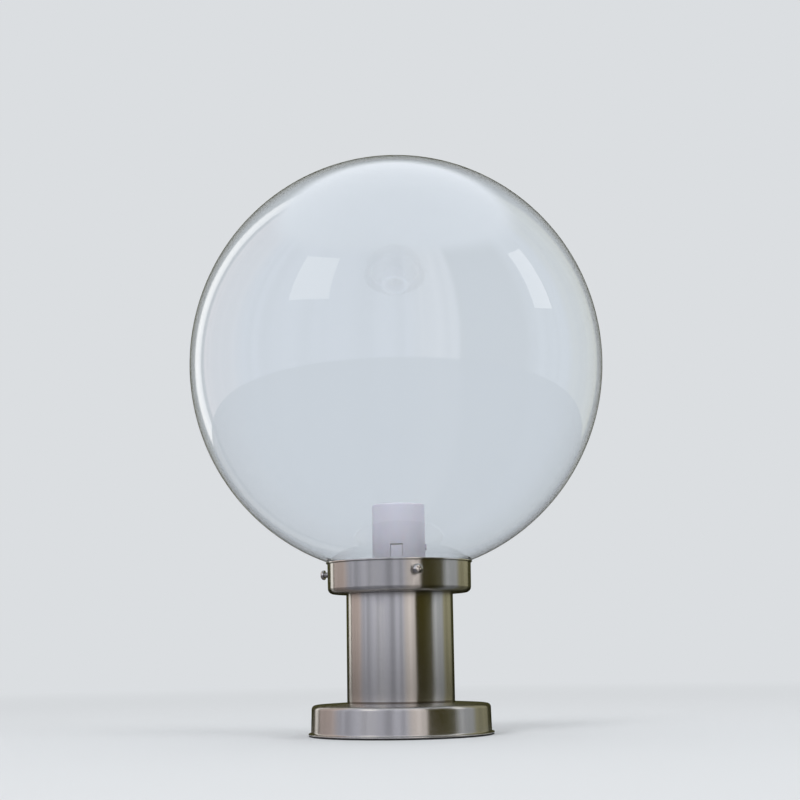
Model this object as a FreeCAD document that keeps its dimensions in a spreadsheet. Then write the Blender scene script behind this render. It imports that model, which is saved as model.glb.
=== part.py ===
import FreeCAD, Part
import math
import os
import Sketcher
from FreeCAD import Placement, Rotation, Vector

# A garden globe light: a clear globe held by three screws in a drawn gallery cup, on a short
# round column over a shallow drawn base cup. A hollow threaded rod clamps the metalwork
# together, carries the lampholder and takes the leads down to a terminal block in the base.
# Millimetres, +Z up, +X to the viewer's right, the viewer on -Y. The origin is the middle
# of the base's underside.

DIMENSIONS = {
    # heights of the main joints, measured from the ground
    "base_top": 22.6,
    "column_top": 98.9,
    "gallery_rim": 121.6,
    "holder_top": 162.6,
    "globe_centre": 265.0,
    # base cup and its foam ring
    "foam_thick": 1.0,
    "foam_outer": 65.3,
    "foam_inner": 58.8,
    "sheet": 1.0,
    "base_radius": 63.2,
    "base_spread": 0.5,
    "base_lip": 65.5,
    "base_corner": 2.6,
    "base_crown": 1.3,
    "crown_foot": 40.0,
    # column tube
    "column_radius": 38.1,
    "column_wall": 1.5,
    "end_break": 0.4,
    "cup_corner": 1.5,
    "spigot_gap": 0.1,
    "spigot_depth": 6.0,
    # gallery cup
    "gallery_radius": 51.4,
    "gallery_draft": 0.2,
    "gallery_lip": 52.4,
    "gallery_corner": 4.0,
    "lip_flare": 1.2,
    "lip_flare_under": 0.8,
    # globe
    "globe_half_wide": 150.0,
    "globe_half_tall": 152.5,
    "globe_wall": 2.5,
    "neck_radius": 46.5,
    "neck_top": 118.0,
    "shoulder_top": 155.0,
    "cap_foot": 350.0,
    "neck_fillet": 2.0,
    "neck_edge": 0.8,
    "seal_thick": 2.5,
    "seal_outer": 47.0,
    "seal_inner": 41.5,
    # gallery screws and the press nuts that they run in
    "screw_count": 3,
    "screw_height": 113.5,
    "front_angle": -77.0,
    "screw_tip": 46.65,
    "screw_seat": 56.65,
    "screw_radius": 2.0,
    "screw_head": 3.5,
    "screw_head_tall": 2.7,
    "screw_nose": 0.5,
    "screw_pan_round": 2.0,
    "screw_hole": 2.3,
    "nut_inner_end": 47.7,
    "nut_barrel": 3.4,
    "nut_flange": 4.4,
    "nut_flange_start": 49.2,
    "thread_gap": 0.03,
    # hollow rod, nuts and washers
    "rod_radius": 5.0,
    "rod_bore": 3.9,
    "rod_chamfer": 0.5,
    "rod_bottom": 9.8,
    "rod_top": 113.4,
    "rod_hole": 5.25,
    "rod_nut_flats": 14.0,
    "rod_nut_thick": 3.0,
    "tooth_washer_thick": 0.8,
    "tooth_washer_radius": 9.0,
    "tooth_count": 12,
    "tooth_gap_wide": 1.6,
    "tooth_gap_deep": 2.2,
    "wide_washer_radius": 15.0,
    "wide_washer_thick": 1.5,
    # mounting strap
    "strap_sheet": 2.0,
    "strap_wide": 20.0,
    "strap_half": 54.0,
    "bridge_half": 30.0,
    "bridge_top": 16.0,
    "slot_spacing": 84.0,
    "slot_long": 12.0,
    "slot_wide": 5.5,
    "lug_wide": 30.0,
    "lug_leg": 14.0,
    "lug_end": 37.0,
    "lug_shelf": 4.0,
    "window_half": 11.5,
    "strap_end_round": 5.0,
    "strap_bend": 3.0,
    # terminal block
    "block_long": 26.0,
    "block_front": 19.0,
    "block_deep": 16.0,
    "block_tall": 13.0,
    "pole_count": 3,
    "pole_pitch": 8.0,
    "pole_height": 10.0,
    "pole_tower": 6.6,
    "block_floor_tall": 8.5,
    "tube_radius": 2.1,
    "tube_bore": 1.25,
    "tube_long": 13.0,
    "block_screw_radius": 1.4,
    "block_screw_head": 1.8,
    "block_screw_top": 15.6,
    "block_well": 2.0,
    "block_screw_offset": 3.6,
    "block_screw_gap": 0.2,
    "fixing_radius": 1.5,
    "fixing_head": 2.7,
    "fixing_head_tall": 2.2,
    "fixing_bottom": 1.2,
    "fixing_round": 0.7,
    "fixing_gap": 0.15,
    # earth screw, washer and ring tag, under the bridge
    "earth_x": 19.0,
    "earth_head": 3.9,
    "earth_head_tall": 2.6,
    "earth_pan_round": 1.3,
    "earth_shank": 2.0,
    "earth_shank_top": 18.0,
    "earth_washer_thick": 0.6,
    "tag_thick": 0.8,
    "tag_radius": 4.0,
    "tag_turn": 128.2,
    "tag_neck_wide": 3.0,
    "tag_barrel": 1.9,
    "tag_barrel_start": 5.5,
    "tag_barrel_long": 5.5,
    "tag_barrel_drop": 1.7,
    "tag_barrel_stop": 1.0,
    # lampholder
    "holder_radius": 19.0,
    "holder_wall": 1.7,
    "dome_bottom": 105.2,
    "dome_foot": 12.5,
    "dome_foot_inner": 11.5,
    "dome_shoulder": 110.2,
    "dome_shoulder_round": 4.0,
    "dome_rim": 121.0,
    "dome_spigot": 126.0,
    "dome_floor": 107.4,
    "dome_boss": 8.2,
    "dome_boss_top": 115.0,
    "socket_radius": 13.35,
    "socket_wall": 1.6,
    "socket_bottom": 142.0,
    "mouth_thick": 2.0,
    "mouth_round": 1.4,
    "mouth_inner_round": 0.7,
    "latch_count": 2,
    "latch_root": 2.0,
    "latch_back_gap": 0.15,
    "latch_wide": 8.0,
    "latch_top": 133.0,
    "latch_side_gap": 0.25,
    "latch_top_gap": 0.8,
    "latch_angle": -95.0,
    "bump_height": 130.5,
    "bump_tall": 5.6,
    "bump_wide": 5.0,
    "bump_proud": 1.1,
    "bump_round": 0.5,
    "groove_gap": 0.1,
    "groove_above": 0.5,
    "carrier_radius": 16.9,
    "carrier_well": 10.6,
    "carrier_well_floor": 136.8,
    "wire_hole": 1.3,
    "terminal_x": 8.0,
    "terminal_height": 130.0,
    "terminal_end": 132.0,
    "terminal_radius": 1.3,
    "terminal_head": 2.6,
    "terminal_head_tall": 1.9,
    "terminal_seat": 11.2,
    "contact_sheet": 0.5,
    "centre_strip": 6.0,
    "centre_foot": 9.0,
    "centre_rise": 141.0,
    "centre_flat": 2.6,
    "centre_knee": 5.2,
    "centre_tail": 4.4,
    "centre_tail_drop": 2.0,
    "side_strip": 5.0,
    "side_slot": 14.2,
    "side_contact_radius": 13.5,
    "side_contact_top": 153.0,
    "side_foot_start": 7.0,
    "grub_height": 111.0,
    "grub_radius": 1.5,
    # leads
    "lead_radius": 1.1,
    "lead_offset": 1.45,
    "lead_low": 5.6,
    "lead_splay_low": 116.5,
    "lead_splay_high": 123.5,
    "lead_line_up": 14.0,
    "lead_end": 24.0,
    "earth_run": 5.5,
    # how far a cutting outline starts before a face, and how far it reaches past the part
    "cut_past": 1.0,
    "trim_past": 5.0,
}

MATCH = 0.01          # two lengths, or two volumes, nearer than this are the same
STRAIGHT = 0.99       # a unit direction at least this far along an axis is parallel to it
ARC_SHARE = 0.45      # the share of a run that a lead's arc takes up at each end


class Size:
    """A length that carries its number and the sheet expression that it comes from."""

    def __init__(self, value, text):
        self.value = value
        self.text = text

    def _combine(self, other, sign, result):
        return Size(result, f"({self.text} {sign} {as_size(other).text})")

    def __add__(self, other):
        return self._combine(other, "+", self.value + as_size(other).value)

    def __sub__(self, other):
        return self._combine(other, "-", self.value - as_size(other).value)

    def __mul__(self, other):
        return self._combine(other, "*", self.value * as_size(other).value)

    def __truediv__(self, other):
        return self._combine(other, "/", self.value / as_size(other).value)

    def __neg__(self):
        return Size(-self.value, f"(0 - {self.text})")


def as_size(number):
    """Wrap a plain number, so that it can stand in an expression."""
    return number if isinstance(number, Size) else Size(float(number), str(number))


class Sheet:
    """The sheet of driving dimensions, one alias to a cell, read as attributes."""

    def __init__(self, doc, dimensions):
        self.cells = doc.addObject("Spreadsheet::Sheet", "Sizes")
        self.numbers = dimensions
        for row, (alias, number) in enumerate(dimensions.items(), start=1):
            self.cells.set(f"A{row}", alias)
            self.cells.set(f"B{row}", str(number))
            self.cells.setAlias(f"B{row}", alias)
        doc.recompute()

    def __getattr__(self, alias):
        return Size(float(self.numbers[alias]), f"Sizes.{alias}")


doc = FreeCAD.newDocument("garden_globe_light")
size = Sheet(doc, DIMENSIONS)
AXIS = as_size(0)
SUB_PARTS = []


# ---------------------------------------------------------------- building blocks

def bind(feature, prop, length):
    """Give a property its number, whole where it counts something, and tie it to the sheet."""
    counts = isinstance(getattr(feature, prop), int)
    setattr(feature, prop, round(length.value) if counts else length.value)
    feature.setExpression(prop, length.text)


def new_body(label):
    """Start a sub-part of its own."""
    body = doc.addObject("PartDesign::Body", label)
    body.Label = label
    SUB_PARTS.append(body)
    return body


def new_sketch(body, role, name):
    """Put an empty sketch on one of the body's own origin planes."""
    sketch = body.newObject("Sketcher::SketchObject", name)
    plane = next(item for item in body.Origin.OriginFeatures if item.Role == role)
    sketch.AttachmentSupport = (plane, [""])
    sketch.MapMode = "FlatFace"
    return sketch


def hold(sketch, kind, *where, length=None):
    """Add a constraint, tied to the sheet when it has a length."""
    if length is None:
        return sketch.addConstraint(Sketcher.Constraint(kind, *where))
    index = sketch.addConstraint(Sketcher.Constraint(kind, *where, length.value))
    sketch.setExpression(f"Constraints[{index}]", length.text)
    return index


def pin_point(sketch, line, end, across, up):
    """Hold one end of a line at its two distances from the sketch's origin."""
    for kind, rule, axis, length in (("DistanceX", "PointOnObject", -2, across),
                                     ("DistanceY", "PointOnObject", -1, up)):
        if length is AXIS:
            hold(sketch, rule, line, end, axis)
        else:
            hold(sketch, kind, -1, 1, line, end, length=length)


def outline(sketch, corners):
    """Draw a closed outline of straight runs through the corners given."""
    points = [Vector(as_size(across).value, as_size(up).value, 0) for across, up in corners]
    first = sketch.GeometryCount
    for start, end in zip(points, points[1:] + points[:1]):
        sketch.addGeometry(Part.LineSegment(start, end), False)
    for index, (across, up) in enumerate(corners):
        line = first + index
        before = first + (index - 1) % len(corners)
        hold(sketch, "Coincident", before, 2, line, 1)
        pin_point(sketch, line, 1, across, up)


def rectangle(sketch, left, right, low, high):
    """Draw a rectangle between two distances across and two up."""
    outline(sketch, [(left, low), (right, low), (right, high), (left, high)])


def circle(sketch, across, up, radius):
    """Draw a circle, tied to the sheet."""
    middle = Vector(across.value, up.value, 0)
    index = sketch.addGeometry(Part.Circle(middle, Vector(0, 0, 1), radius.value), False)
    hold(sketch, "Radius", index, length=radius)
    pin_point(sketch, index, 3, across, up)


def revolve(body, corners, name, turn_axis="V_Axis"):
    """Turn an outline in the body's XZ plane about one of that sketch's axes."""
    sketch = new_sketch(body, "XZ_Plane", f"{name}_outline")
    outline(sketch, corners)
    feature = body.newObject("PartDesign::Revolution", name)
    feature.Profile = sketch
    feature.ReferenceAxis = (sketch, [turn_axis])
    feature.Angle = 360
    return feature


def start_at(sketch, start):
    """Move a sketch along its normal to a stated distance."""
    sketch.AttachmentOffset = Placement(Vector(0, 0, start.value), Rotation())
    sketch.setExpression("AttachmentOffset.Base.z", start.text)


def volume(body):
    """Return the volume of a body as it stands."""
    doc.recompute()
    return body.Shape.Volume


def check_change(body, before, name):
    """Stop if a cut or a pattern left the body's volume as it was."""
    if abs(volume(body) - before) < MATCH:
        raise ValueError(f"{body.Label}: {name} changes nothing")


def pad(body, sketch, length, name, start=None, middle=False):
    """Thicken a sketch along its normal, from a stated distance or about its plane."""
    if start is not None:
        start_at(sketch, start)
    feature = body.newObject("PartDesign::Pad", name)
    feature.Profile = sketch
    feature.SideType = "Symmetric" if middle else "One side"
    bind(feature, "Length", length)
    doc.recompute()
    return feature


def pocket(body, sketch, name, length=None, start=None, forward=False):
    """Cut a sketch away: right through both ways, or a length to one side of it."""
    before = volume(body)
    if start is not None:
        start_at(sketch, start)
    feature = body.newObject("PartDesign::Pocket", name)
    feature.Profile = sketch
    feature.Reversed = forward
    if length is None:
        feature.SideType = "Symmetric"
        feature.Type = "ThroughAll"
    else:
        bind(feature, "Length", length)
    check_change(body, before, name)
    return feature


def spread_round(body, features, count, name):
    """Repeat features evenly round the body's Z axis."""
    before = volume(body)
    axis = next(item for item in body.Origin.OriginFeatures if item.Role == "Z_Axis")
    pattern = body.newObject("PartDesign::PolarPattern", name)
    pattern.Originals = features
    pattern.Axis = (axis, [""])
    pattern.Angle = 360
    bind(pattern, "Occurrences", count)
    body.Tip = pattern
    check_change(body, before, name)


def spread_along(body, features, span, count, name):
    """Repeat features evenly along the body's X axis."""
    before = volume(body)
    axis = next(item for item in body.Origin.OriginFeatures if item.Role == "X_Axis")
    pattern = body.newObject("PartDesign::LinearPattern", name)
    pattern.Originals = features
    pattern.Direction = (axis, [""])
    bind(pattern, "Length", span)
    bind(pattern, "Occurrences", count)
    body.Tip = pattern
    check_change(body, before, name)


def line_edges(body, fits):
    """Name the straight edges of a body whose direction and middle pass a test."""
    doc.recompute()
    names = []
    for index, edge in enumerate(body.Shape.Edges, start=1):
        if isinstance(edge.Curve, Part.Line) and fits(edge.Curve.Direction, edge.CenterOfMass):
            names.append(f"Edge{index}")
    return names


def near(number, length):
    """Tell whether a number is a length, to a hundredth."""
    return abs(abs(number) - length.value) < MATCH


def ring_edges(feature, radius, height):
    """Name the round edges of a feature that lie at a radius and a height on the Z axis."""
    names = []
    for index, edge in enumerate(feature.Shape.Edges, start=1):
        if edge.Degenerated or not isinstance(edge.Curve, Part.Circle):
            continue
        centre = edge.Curve.Center
        fits = (near(edge.Curve.Radius, radius) and near(centre.z, height)
                and math.hypot(centre.x, centre.y) < MATCH)
        if fits:
            names.append(f"Edge{index}")
    return names


def round_edges(body, names, radius, name):
    """Round the named edges of the body's last feature."""
    base = body.Tip
    if not names:
        raise ValueError(f"{body.Label}: {name} found no edge")
    feature = body.newObject("PartDesign::Fillet", name)
    feature.Base = (base, names)
    bind(feature, "Radius", radius)
    doc.recompute()
    return feature


def round_ring(body, radius, height, fillet, name):
    """Round the circular edge at a radius and a height."""
    doc.recompute()
    return round_edges(body, ring_edges(body.Tip, radius, height), fillet, name)


def trim_outside(body, radius, name):
    """Cut away all that stands out past a radius about Z."""
    outside = new_sketch(body, "XY_Plane", f"{name}_outline")
    circle(outside, AXIS, AXIS, radius)
    circle(outside, AXIS, AXIS, radius + size.trim_past)
    pocket(body, outside, name)


def place(body, angle=None, across=None, height=None):
    """Place a sub-part: turned about Z, moved along X and lifted, each tied to the sheet."""
    spot = Vector(across.value if across else 0, 0, height.value if height else 0)
    body.Placement = Placement(spot, Rotation(Vector(0, 0, 1), angle.value if angle else 0))
    for prop, length in (("Placement.Base.x", across), ("Placement.Base.z", height)):
        if length:
            body.setExpression(prop, length.text)
    if angle:
        body.setExpression("Placement.Rotation.Angle", f"({angle.text}) * 1 deg")


# ---------------------------------------------------------------- base

def base_gasket():
    """Soft black foam ring between the base cup's lip and the ground."""
    body = new_body("base_gasket")
    revolve(body, [(size.foam_inner, AXIS), (size.foam_outer, AXIS),
                   (size.foam_outer, size.foam_thick), (size.foam_inner, size.foam_thick)], "ring")


def base_cup():
    """Shallow crowned cup drawn from sheet, mouth down, with a turned-out lip and a rod hole."""
    body = new_body("base_cup")
    lip_top = size.foam_thick + size.sheet
    wall_foot = size.base_radius + size.base_spread
    ceiling = size.base_top - size.sheet
    shoulder = size.base_top - size.base_crown
    revolve(body, [
        (size.rod_hole, ceiling), (size.crown_foot, ceiling),
        (size.base_radius - size.sheet, shoulder - size.sheet),
        (wall_foot - size.sheet, size.foam_thick), (size.base_lip, size.foam_thick),
        (size.base_lip, lip_top), (wall_foot, lip_top), (size.base_radius, shoulder),
        (size.crown_foot, size.base_top), (size.rod_hole, size.base_top)], "drawn_cup")
    round_ring(body, size.base_radius, shoulder, size.base_corner, "corner_outside")
    round_ring(body, size.base_radius - size.sheet, shoulder - size.sheet,
               size.base_corner - size.sheet, "corner_inside")
    round_ring(body, wall_foot, lip_top, size.lip_flare, "lip_flare_outside")
    round_ring(body, wall_foot - size.sheet, size.foam_thick,
               size.lip_flare + size.sheet, "lip_flare_inside")


def mounting_strap():
    """Pressed strap with two slotted feet, a raised bridge and a lug for the terminal block."""
    body = new_body("mounting_strap")
    inner = size.bridge_half - size.strap_sheet
    under = size.bridge_top - size.strap_sheet
    hat = new_sketch(body, "XZ_Plane", "hat_outline")
    outline(hat, [
        (size.strap_half, AXIS), (size.strap_half, size.strap_sheet),
        (size.bridge_half, size.strap_sheet), (size.bridge_half, size.bridge_top),
        (-size.bridge_half, size.bridge_top), (-size.bridge_half, size.strap_sheet),
        (-size.strap_half, size.strap_sheet), (-size.strap_half, AXIS),
        (-inner, AXIS), (-inner, under), (inner, under), (inner, AXIS)])
    pad(body, hat, size.strap_wide, "hat_strip", middle=True)

    lug_inner = size.lug_leg - size.strap_sheet
    edge = size.strap_wide / 2 - size.strap_sheet
    shelf_under = size.lug_shelf - size.strap_sheet
    lug = new_sketch(body, "YZ_Plane", "lug_outline")
    outline(lug, [
        (edge, size.bridge_top), (edge, under), (lug_inner, under), (lug_inner, shelf_under),
        (size.lug_end, shelf_under), (size.lug_end, size.lug_shelf),
        (size.lug_leg, size.lug_shelf), (size.lug_leg, size.bridge_top)])
    pad(body, lug, size.lug_wide, "lug", middle=True)

    window = new_sketch(body, "XZ_Plane", "window_outline")
    rectangle(window, -size.window_half, size.window_half, size.lug_shelf, under)
    pocket(body, window, "wire_window", length=size.lug_leg + size.cut_past)

    holes = new_sketch(body, "XY_Plane", "hole_outlines")
    for side in (-1, 1):
        slot(holes, size.slot_spacing / 2 * side, size.slot_long, size.slot_wide)
    circle(holes, AXIS, AXIS, size.rod_hole)
    circle(holes, size.earth_x, AXIS, size.earth_shank + size.thread_gap)
    circle(holes, size.pole_pitch / 2, block_middle(), size.fixing_radius + size.thread_gap)
    pocket(body, holes, "holes")
    round_bends(body)


def slot(sketch, middle, length, width):
    """Draw a slot along the sketch's horizontal axis, centred on that axis."""
    radius = width / 2
    reach = (length - width) / 2
    left = middle - reach
    right = middle + reach
    quarter = math.pi / 2
    first = sketch.GeometryCount
    left_end = Part.Circle(Vector(left.value, 0, 0), Vector(0, 0, 1), radius.value)
    right_end = Part.Circle(Vector(right.value, 0, 0), Vector(0, 0, 1), radius.value)
    sketch.addGeometry(Part.ArcOfCircle(left_end, quarter, 3 * quarter), False)
    sketch.addGeometry(Part.ArcOfCircle(right_end, -quarter, quarter), False)
    sketch.addGeometry(Part.LineSegment(Vector(left.value, radius.value, 0),
                                        Vector(right.value, radius.value, 0)), False)
    sketch.addGeometry(Part.LineSegment(Vector(left.value, -radius.value, 0),
                                        Vector(right.value, -radius.value, 0)), False)
    hold(sketch, "Tangent", first, 1, first + 2, 1)
    hold(sketch, "Tangent", first + 2, 2, first + 1, 2)
    hold(sketch, "Tangent", first + 1, 1, first + 3, 2)
    hold(sketch, "Tangent", first + 3, 1, first, 2)
    hold(sketch, "Radius", first, length=radius)
    hold(sketch, "DistanceX", -1, 1, first, 3, length=left)
    hold(sketch, "DistanceX", -1, 1, first + 1, 3, length=right)
    hold(sketch, "PointOnObject", first, 3, -1)
    hold(sketch, "PointOnObject", first + 1, 3, -1)


def round_bends(body):
    """Give the strap's upper bends their outside radius and its feet round ends."""
    def is_bend(direction, middle):
        at_corner = near(middle.x, size.bridge_half) and near(middle.z, size.bridge_top)
        return abs(direction.y) > STRAIGHT and at_corner

    def is_foot_end(direction, middle):
        return abs(direction.z) > STRAIGHT and near(middle.x, size.strap_half)

    round_edges(body, line_edges(body, is_bend), size.strap_bend, "bend_round")
    round_edges(body, line_edges(body, is_foot_end), size.strap_end_round, "foot_ends")


# ---------------------------------------------------------------- hollow rod, nuts and washers

def hollow_rod():
    """Threaded rod with a wire bore, from under the bridge up into the lampholder."""
    body = new_body("hollow_rod")
    chamfer = size.rod_chamfer
    nose = size.rod_radius - chamfer
    revolve(body, [
        (size.rod_bore, size.rod_bottom), (nose, size.rod_bottom),
        (size.rod_radius, size.rod_bottom + chamfer), (size.rod_radius, size.rod_top - chamfer),
        (nose, size.rod_top), (size.rod_bore, size.rod_top)], "rod")


def rod_nut(label, seat):
    """Thin hexagon nut on the rod, its underside at the height given."""
    body = new_body(label)
    hexagon = new_sketch(body, "XY_Plane", "hexagon")
    corner = size.rod_nut_flats.value / math.sqrt(3)
    points = [Vector(corner * math.cos(math.radians(turn)), corner * math.sin(math.radians(turn)), 0)
              for turn in range(0, 360, 60)]
    for start, end in zip(points, points[1:] + points[:1]):
        hexagon.addGeometry(Part.LineSegment(start, end), False)
    guide = hexagon.addGeometry(Part.Circle(Vector(), Vector(0, 0, 1), corner), True)
    hold(hexagon, "Coincident", guide, 3, -1, 1)
    for side in range(6):
        hold(hexagon, "Coincident", side, 2, (side + 1) % 6, 1)
        hold(hexagon, "PointOnObject", side, 1, guide)
        if side:
            hold(hexagon, "Equal", 0, side)
    hold(hexagon, "PointOnObject", 0, 1, -1)
    hold(hexagon, "Radius", guide, length=size.rod_nut_flats * (1 / math.sqrt(3)))
    circle(hexagon, AXIS, AXIS, size.rod_radius + size.thread_gap)
    pad(body, hexagon, size.rod_nut_thick, "nut")
    place(body, height=seat)


def tooth_washer(label, seat):
    """Locking washer with notches all round its rim."""
    body = new_body(label)
    ring = new_sketch(body, "XY_Plane", "ring")
    circle(ring, AXIS, AXIS, size.tooth_washer_radius)
    circle(ring, AXIS, AXIS, size.rod_hole)
    pad(body, ring, size.tooth_washer_thick, "ring_pad")
    notch = new_sketch(body, "XY_Plane", "notch")
    rectangle(notch, size.tooth_washer_radius - size.tooth_gap_deep,
              size.tooth_washer_radius + size.cut_past,
              -size.tooth_gap_wide / 2, size.tooth_gap_wide / 2)
    spread_round(body, [pocket(body, notch, "notch_cut")], size.tooth_count, "notches")
    place(body, height=seat)


def wide_washer():
    """Plain wide washer that spreads the rod's clamp over the gallery's floor."""
    body = new_body("gallery_washer")
    ring = new_sketch(body, "XY_Plane", "ring")
    circle(ring, AXIS, AXIS, size.wide_washer_radius)
    circle(ring, AXIS, AXIS, size.rod_hole)
    pad(body, ring, size.wide_washer_thick, "washer")
    place(body, height=size.column_top + size.sheet)


# ---------------------------------------------------------------- column and gallery

def column_tube():
    """Round column tube, its cut ends lightly broken inside and out."""
    body = new_body("column_tube")
    inner = size.column_radius - size.column_wall
    revolve(body, [(inner, size.base_top), (size.column_radius, size.base_top),
                   (size.column_radius, size.column_top), (inner, size.column_top)], "tube")
    doc.recompute()
    ends = ring_edges(body.Tip, size.column_radius, size.base_top)
    ends += ring_edges(body.Tip, size.column_radius, size.column_top)
    round_edges(body, ends, size.end_break, "end_breaks")


def centring_cup(label, seat, upwards):
    """Pressed cup that sits inside one end of the column and centres it on the rod."""
    body = new_body(label)
    outer = size.column_radius - size.column_wall - size.spigot_gap
    inner = outer - size.sheet
    turn = 1 if upwards else -1
    floor = size.sheet * turn
    rim = size.spigot_depth * turn
    revolve(body, [(size.rod_hole, AXIS), (outer, AXIS), (outer, rim), (inner, rim),
                   (inner, floor), (size.rod_hole, floor)], "pressed_cup")
    round_ring(body, outer, AXIS, size.cup_corner, "corner_outside")
    place(body, height=seat)


def gallery_cup():
    """Drawn cup, mouth up, with a turned-out lip and three screw holes under the rim."""
    body = new_body("gallery_cup")
    floor = size.column_top + size.sheet
    foot = size.gallery_radius - size.gallery_draft
    lip_under = size.gallery_rim - size.sheet
    revolve(body, [
        (size.rod_hole, size.column_top), (foot, size.column_top), (size.gallery_radius, lip_under),
        (size.gallery_lip, lip_under), (size.gallery_lip, size.gallery_rim),
        (size.gallery_radius - size.sheet, size.gallery_rim), (foot - size.sheet, floor),
        (size.rod_hole, floor)], "drawn_cup")
    round_ring(body, foot, size.column_top, size.gallery_corner, "corner_outside")
    round_ring(body, foot - size.sheet, floor, size.gallery_corner - size.sheet, "corner_inside")
    round_ring(body, size.gallery_radius, lip_under, size.lip_flare_under, "lip_flare_outside")
    round_ring(body, size.gallery_radius - size.sheet, size.gallery_rim,
               size.lip_flare, "lip_flare_inside")
    hole = new_sketch(body, "YZ_Plane", "screw_hole")
    circle(hole, AXIS, size.screw_height, size.screw_hole)
    cut = pocket(body, hole, "screw_hole_cut", length=size.gallery_lip, forward=True)
    spread_round(body, [cut], size.screw_count, "screw_holes")
    place(body, angle=size.front_angle)


def gallery_wall_inside(height):
    """Return the inside radius of the gallery's drafted wall at a height."""
    floor = size.column_top + size.sheet
    share = (size.gallery_rim - height) / (size.gallery_rim - floor)
    return size.gallery_radius - size.sheet - size.gallery_draft * share


def gallery_press_nuts():
    """Three nuts pressed to the inside of the gallery wall, each fitted to its curve."""
    body = new_body("gallery_press_nuts")
    body.AllowCompound = True
    bore = size.screw_radius + size.thread_gap
    wall = size.gallery_radius
    nut = revolve(body, [
        (size.nut_inner_end, bore), (wall, bore), (wall, size.nut_flange),
        (size.nut_flange_start, size.nut_flange), (size.nut_flange_start, size.nut_barrel),
        (size.nut_inner_end, size.nut_barrel)], "nut", turn_axis="H_Axis")
    spread_round(body, [nut], size.screw_count, "nuts")
    trim_outside(body, gallery_wall_inside(size.screw_height - size.nut_flange), "wall_fit")
    place(body, angle=size.front_angle, height=size.screw_height)


def gallery_screw(label, turn):
    """Pan head screw that bears on the globe's neck, at a number of turns of the pattern."""
    body = new_body(label)
    nose = size.screw_nose
    top = size.screw_seat + size.screw_head_tall
    revolve(body, [
        (size.screw_tip, AXIS), (size.screw_tip, size.screw_radius - nose),
        (size.screw_tip + nose, size.screw_radius), (size.screw_seat, size.screw_radius),
        (size.screw_seat, size.screw_head), (top, size.screw_head), (top, AXIS)],
        "screw", turn_axis="H_Axis")
    doc.recompute()
    rim = [f"Edge{index}" for index, edge in enumerate(body.Shape.Edges, start=1)
           if not edge.Degenerated and isinstance(edge.Curve, Part.Circle)
           and near(edge.Curve.Center.x, top) and near(edge.Curve.Radius, size.screw_head)]
    round_edges(body, rim, size.screw_pan_round, "pan_round")
    spacing = as_size(360) / size.screw_count
    place(body, angle=size.front_angle + spacing * turn, height=size.screw_height)


def globe_seal():
    """Silicone ring on the gallery's floor, under the globe's neck."""
    body = new_body("globe_seal")
    floor = size.column_top + size.sheet
    top = floor + size.seal_thick
    revolve(body, [(size.seal_inner, floor), (size.seal_outer, floor),
                   (size.seal_outer, top), (size.seal_inner, top)], "ring")


# ---------------------------------------------------------------- globe

def glass_arc(sketch, half_wide, half_tall, neck_radius):
    """Draw the right side of an upright ellipse, from the neck up to the pole."""
    centre = size.globe_centre
    drop = half_tall.value * math.sqrt(1 - (neck_radius.value / half_wide.value) ** 2)
    neck_end = Vector(neck_radius.value, centre.value - drop, 0)
    ellipse = Part.Ellipse(Vector(0, centre.value + half_tall.value, 0),
                           Vector(-half_wide.value, centre.value, 0), Vector(0, centre.value, 0))
    start = ellipse.parameter(neck_end)
    arc = sketch.addGeometry(Part.ArcOfEllipse(ellipse, start, 2 * math.pi), False)
    sketch.exposeInternalGeometry(arc)
    tall_line = arc + 1
    wide_line = arc + 2
    hold(sketch, "PointOnObject", arc, 3, -2)
    hold(sketch, "DistanceY", -1, 1, arc, 3, length=centre)
    hold(sketch, "PointOnObject", tall_line, 1, -2)
    hold(sketch, "Distance", tall_line, length=half_tall * 2)
    hold(sketch, "Distance", wide_line, length=half_wide * 2)
    hold(sketch, "DistanceX", -1, 1, arc, 1, length=neck_radius)
    hold(sketch, "PointOnObject", arc, 2, -2)
    return arc, neck_end


def glass_wall(body):
    """Turn the globe's wall above its neck, and return where its two faces meet the neck's."""
    section = new_sketch(body, "XZ_Plane", "wall_section")
    inner_neck = size.neck_radius - size.globe_wall
    outer, outer_neck = glass_arc(section, size.globe_half_wide, size.globe_half_tall, size.neck_radius)
    inner, inner_start = glass_arc(section, size.globe_half_wide - size.globe_wall,
                                   size.globe_half_tall - size.globe_wall, inner_neck)
    foot = Vector(size.neck_radius.value, size.neck_top.value, 0)
    inner_foot = Vector(inner_neck.value, size.neck_top.value, 0)
    top = size.globe_centre.value + size.globe_half_tall.value
    pole = Vector(0, top, 0)
    inner_pole = Vector(0, top - size.globe_wall.value, 0)
    outer_side = section.addGeometry(Part.LineSegment(foot, outer_neck), False)
    inner_side = section.addGeometry(Part.LineSegment(inner_start, inner_foot), False)
    end = section.addGeometry(Part.LineSegment(inner_foot, foot), False)
    crown = section.addGeometry(Part.LineSegment(pole, inner_pole), False)
    hold(section, "Coincident", outer_side, 2, outer, 1)
    hold(section, "Coincident", outer, 2, crown, 1)
    hold(section, "Coincident", crown, 2, inner, 2)
    hold(section, "Coincident", inner, 1, inner_side, 1)
    hold(section, "Coincident", inner_side, 2, end, 1)
    hold(section, "Coincident", end, 2, outer_side, 1)
    hold(section, "Vertical", outer_side)
    hold(section, "Vertical", inner_side)
    hold(section, "Horizontal", end)
    hold(section, "DistanceY", -1, 1, end, 1, length=size.neck_top)
    shell = body.newObject("PartDesign::Revolution", "shell")
    shell.Profile = section
    shell.ReferenceAxis = (section, ["V_Axis"])
    shell.Angle = 360
    doc.recompute()
    if not section.FullyConstrained:
        raise ValueError("the globe's section is not fully held")
    return as_size(outer_neck.y), as_size(inner_start.y)


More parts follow.
